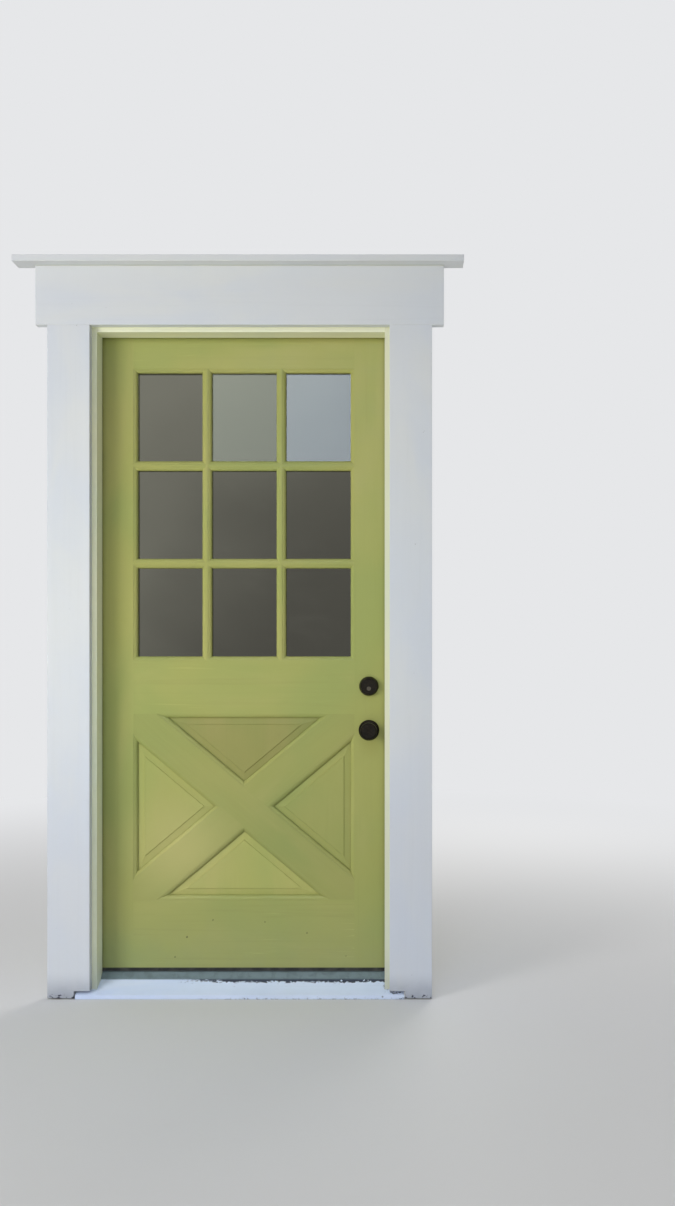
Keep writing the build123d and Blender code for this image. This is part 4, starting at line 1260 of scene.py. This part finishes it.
@dataclass
class Studio:
    """The pale floor, the even surrounding light and the soft boxes."""

    floor_reach: float = 60.0
    floor_gap: float = 0.0005
    fade_from: float = 0.4
    fade_to: float = 4.6
    backdrop: Colour = Colour(230, 231, 233)
    floor_tone: Colour = Colour(214, 213, 210)
    ambient: float = 0.36
    ambient_tint: tuple[float, float, float, float] = (0.96, 0.98, 1.04, 1.0)
    lamps: tuple[Lamp, ...] = (
        Lamp(
            "key_box", place=(-3.2, -3.3, 1.9), aim=(0.0, 0.0, 0.9), width=1.8, height=1.8,
            power=124.0, tint=(1.0, 0.99, 0.98),
        ),
        Lamp(
            "fill_box", place=(2.4, -4.2, 1.0), aim=(0.0, 0.0, 0.5), width=2.2, height=1.8,
            power=6.0, tint=(0.86, 1.0, 0.86),
        ),
        Lamp(
            "low_box", place=(-0.4, -1.4, 0.05), aim=(0.0, 0.0, 2.05), width=2.0, height=0.5,
            power=5.6, tint=(1.0, 0.97, 0.66), spread=1.5,
        ),
        Lamp(
            "sky_wash", place=(0.0, -2.6, 3.6), aim=(0.0, -0.1, 0.0), width=1.4, height=0.8,
            power=2.6, tint=(0.68, 0.80, 1.0), spread=0.7,
        ),
        Lamp(
            "sky_card", place=(0.28, -4.2, 2.84), aim=(0.28, 0.0, 2.84), width=1.24, height=0.94,
            power=24.0, tint=(0.70, 0.84, 1.0), lights=False, glints=True,
        ),
        Lamp(
            "leafy_card", place=(-0.61, -4.2, 2.84), aim=(-0.61, 0.0, 2.84), width=0.52, height=0.94,
            power=4.6, tint=(0.82, 0.96, 0.86), lights=False, glints=True,
        ),
        Lamp(
            "inside_box", place=(1.6, 3.6, 2.4), aim=(0.0, 0.0, 1.1), width=2.4, height=2.4,
            power=90.0, tint=(1.0, 1.0, 1.0),
        ),
    )

    def seen(self, graph: Graph) -> Field:
        """Tells the rays that show the backdrop from those that light the object.

        Args:
            graph: the graph of the floor or of the world.

        Returns:
            A field that is 1 for rays that show the backdrop and 0 for the others.
        """
        path = graph.add("ShaderNodeLightPath")
        plain = path.output("Is Camera Ray").largest(path.output("Is Glossy Ray"))
        return plain.largest(path.output("Is Transmission Ray"))

    def build_world(self) -> None:
        """Makes the surrounding light, with the pale backdrop for what is seen directly."""
        world = bpy.data.worlds.new("studio")
        bpy.context.scene.world = world
        world.use_nodes = True
        graph = Graph(world.node_tree)
        even = {"Color": self.ambient_tint, "Strength": self.ambient}
        light = graph.add("ShaderNodeBackground", None, even)
        wall = graph.add("ShaderNodeBackground", None, {"Color": self.backdrop, "Strength": 1.0})
        both = graph.add("ShaderNodeMixShader", None, {0: self.seen(graph), 1: light, 2: wall})
        graph.add("ShaderNodeOutputWorld", None, {"Surface": both})

    def build_floor(self) -> None:
        """Lays the floor, which fades into the backdrop away from the door."""
        mesh = bmesh.new()
        bmesh.ops.create_grid(mesh, x_segments=1, y_segments=1, size=self.floor_reach)
        data = bpy.data.meshes.new("studio_floor")
        mesh.to_mesh(data)
        mesh.free()
        floor = bpy.data.objects.new("studio_floor", data)
        floor.location = (0.0, 0.0, cad_box[0].z - self.floor_gap)
        bpy.context.scene.collection.objects.link(floor)
        material = bpy.data.materials.new("studio_floor")
        material.use_nodes = True
        data.materials.append(material)
        graph = Graph(material.node_tree)
        away = graph.add("ShaderNodeVectorMath", {"operation": "LENGTH"}, {0: graph.place()}).output("Value")
        fade = away.ramp(self.fade_from, self.fade_to) * self.seen(graph)
        solid = graph.add("ShaderNodeBsdfDiffuse", None, {"Color": self.floor_tone})
        glow = graph.add("ShaderNodeEmission", None, {"Color": self.backdrop, "Strength": 1.0})
        both = graph.add("ShaderNodeMixShader", None, {0: fade, 1: solid, 2: glow})
        graph.add("ShaderNodeOutputMaterial", None, {"Surface": both})

    def build(self) -> None:
        """Sets the studio up."""
        self.build_world()
        self.build_floor()
        for lamp in self.lamps:
            lamp.build()
            LOG.info("%s hangs at %s", lamp.name, lamp.place)


@dataclass
class PhotoView:
    """The camera, square to the wall as in the photograph, whose frame it repeats."""

    frame_width: float = 675.0
    frame_height: float = 1206.0
    axis_x: float = 390.0
    axis_y: float = 642.0
    focal_pixels: float = 1037.6
    film: float = 36.0
    place: Triple = (0.464, -3.226, 1.102)

    def on_wall(self, mark: Triple, depth: float) -> Triple:
        """Carries a round mark of the photograph onto an upright plane that faces the camera.

        Args:
            mark: its distance from the frame's left edge and top edge, and its radius, in pixels.
            depth: how far through the wall the plane lies, in metres.

        Returns:
            The mark's distance to the right, height and radius, in metres.
        """
        x, y, radius = mark
        right, back, up = self.place
        scale = (depth - back) / self.focal_pixels
        return right + (x - self.axis_x) * scale, up - (y - self.axis_y) * scale, radius * scale

    def build(self) -> None:
        """Makes the camera and hands it to the scene."""
        data = bpy.data.cameras.new("photo_view")
        data.sensor_width = self.film
        data.lens = self.focal_pixels / self.frame_height * self.film
        data.shift_x = (self.frame_width / 2 - self.axis_x) / self.frame_height
        data.shift_y = (self.axis_y - self.frame_height / 2) / self.frame_height
        camera = bpy.data.objects.new("photo_view", data)
        camera.location = self.place
        camera.rotation_euler = (math.pi / 2, 0.0, 0.0)
        bpy.context.scene.collection.objects.link(camera)
        bpy.context.scene.camera = camera
        LOG.info("the camera stands at %s", self.place)


def main() -> None:
    """Dresses the door piece by piece, then sets the studio and the camera."""
    logging.basicConfig(level=logging.INFO, format="%(message)s")
    bpy.context.scene.view_settings.view_transform = "Standard"
    shop = PaintShop()
    for assembly in (Leaf(), Glazing(), Surround(), Hinges(), LockSet(), PaintFlakes()):
        LOG.info("dressing %s", type(assembly).__name__)
        assembly.dress(shop)
    Studio().build()
    PhotoView().build()


if __name__ == "__main__":
    main()
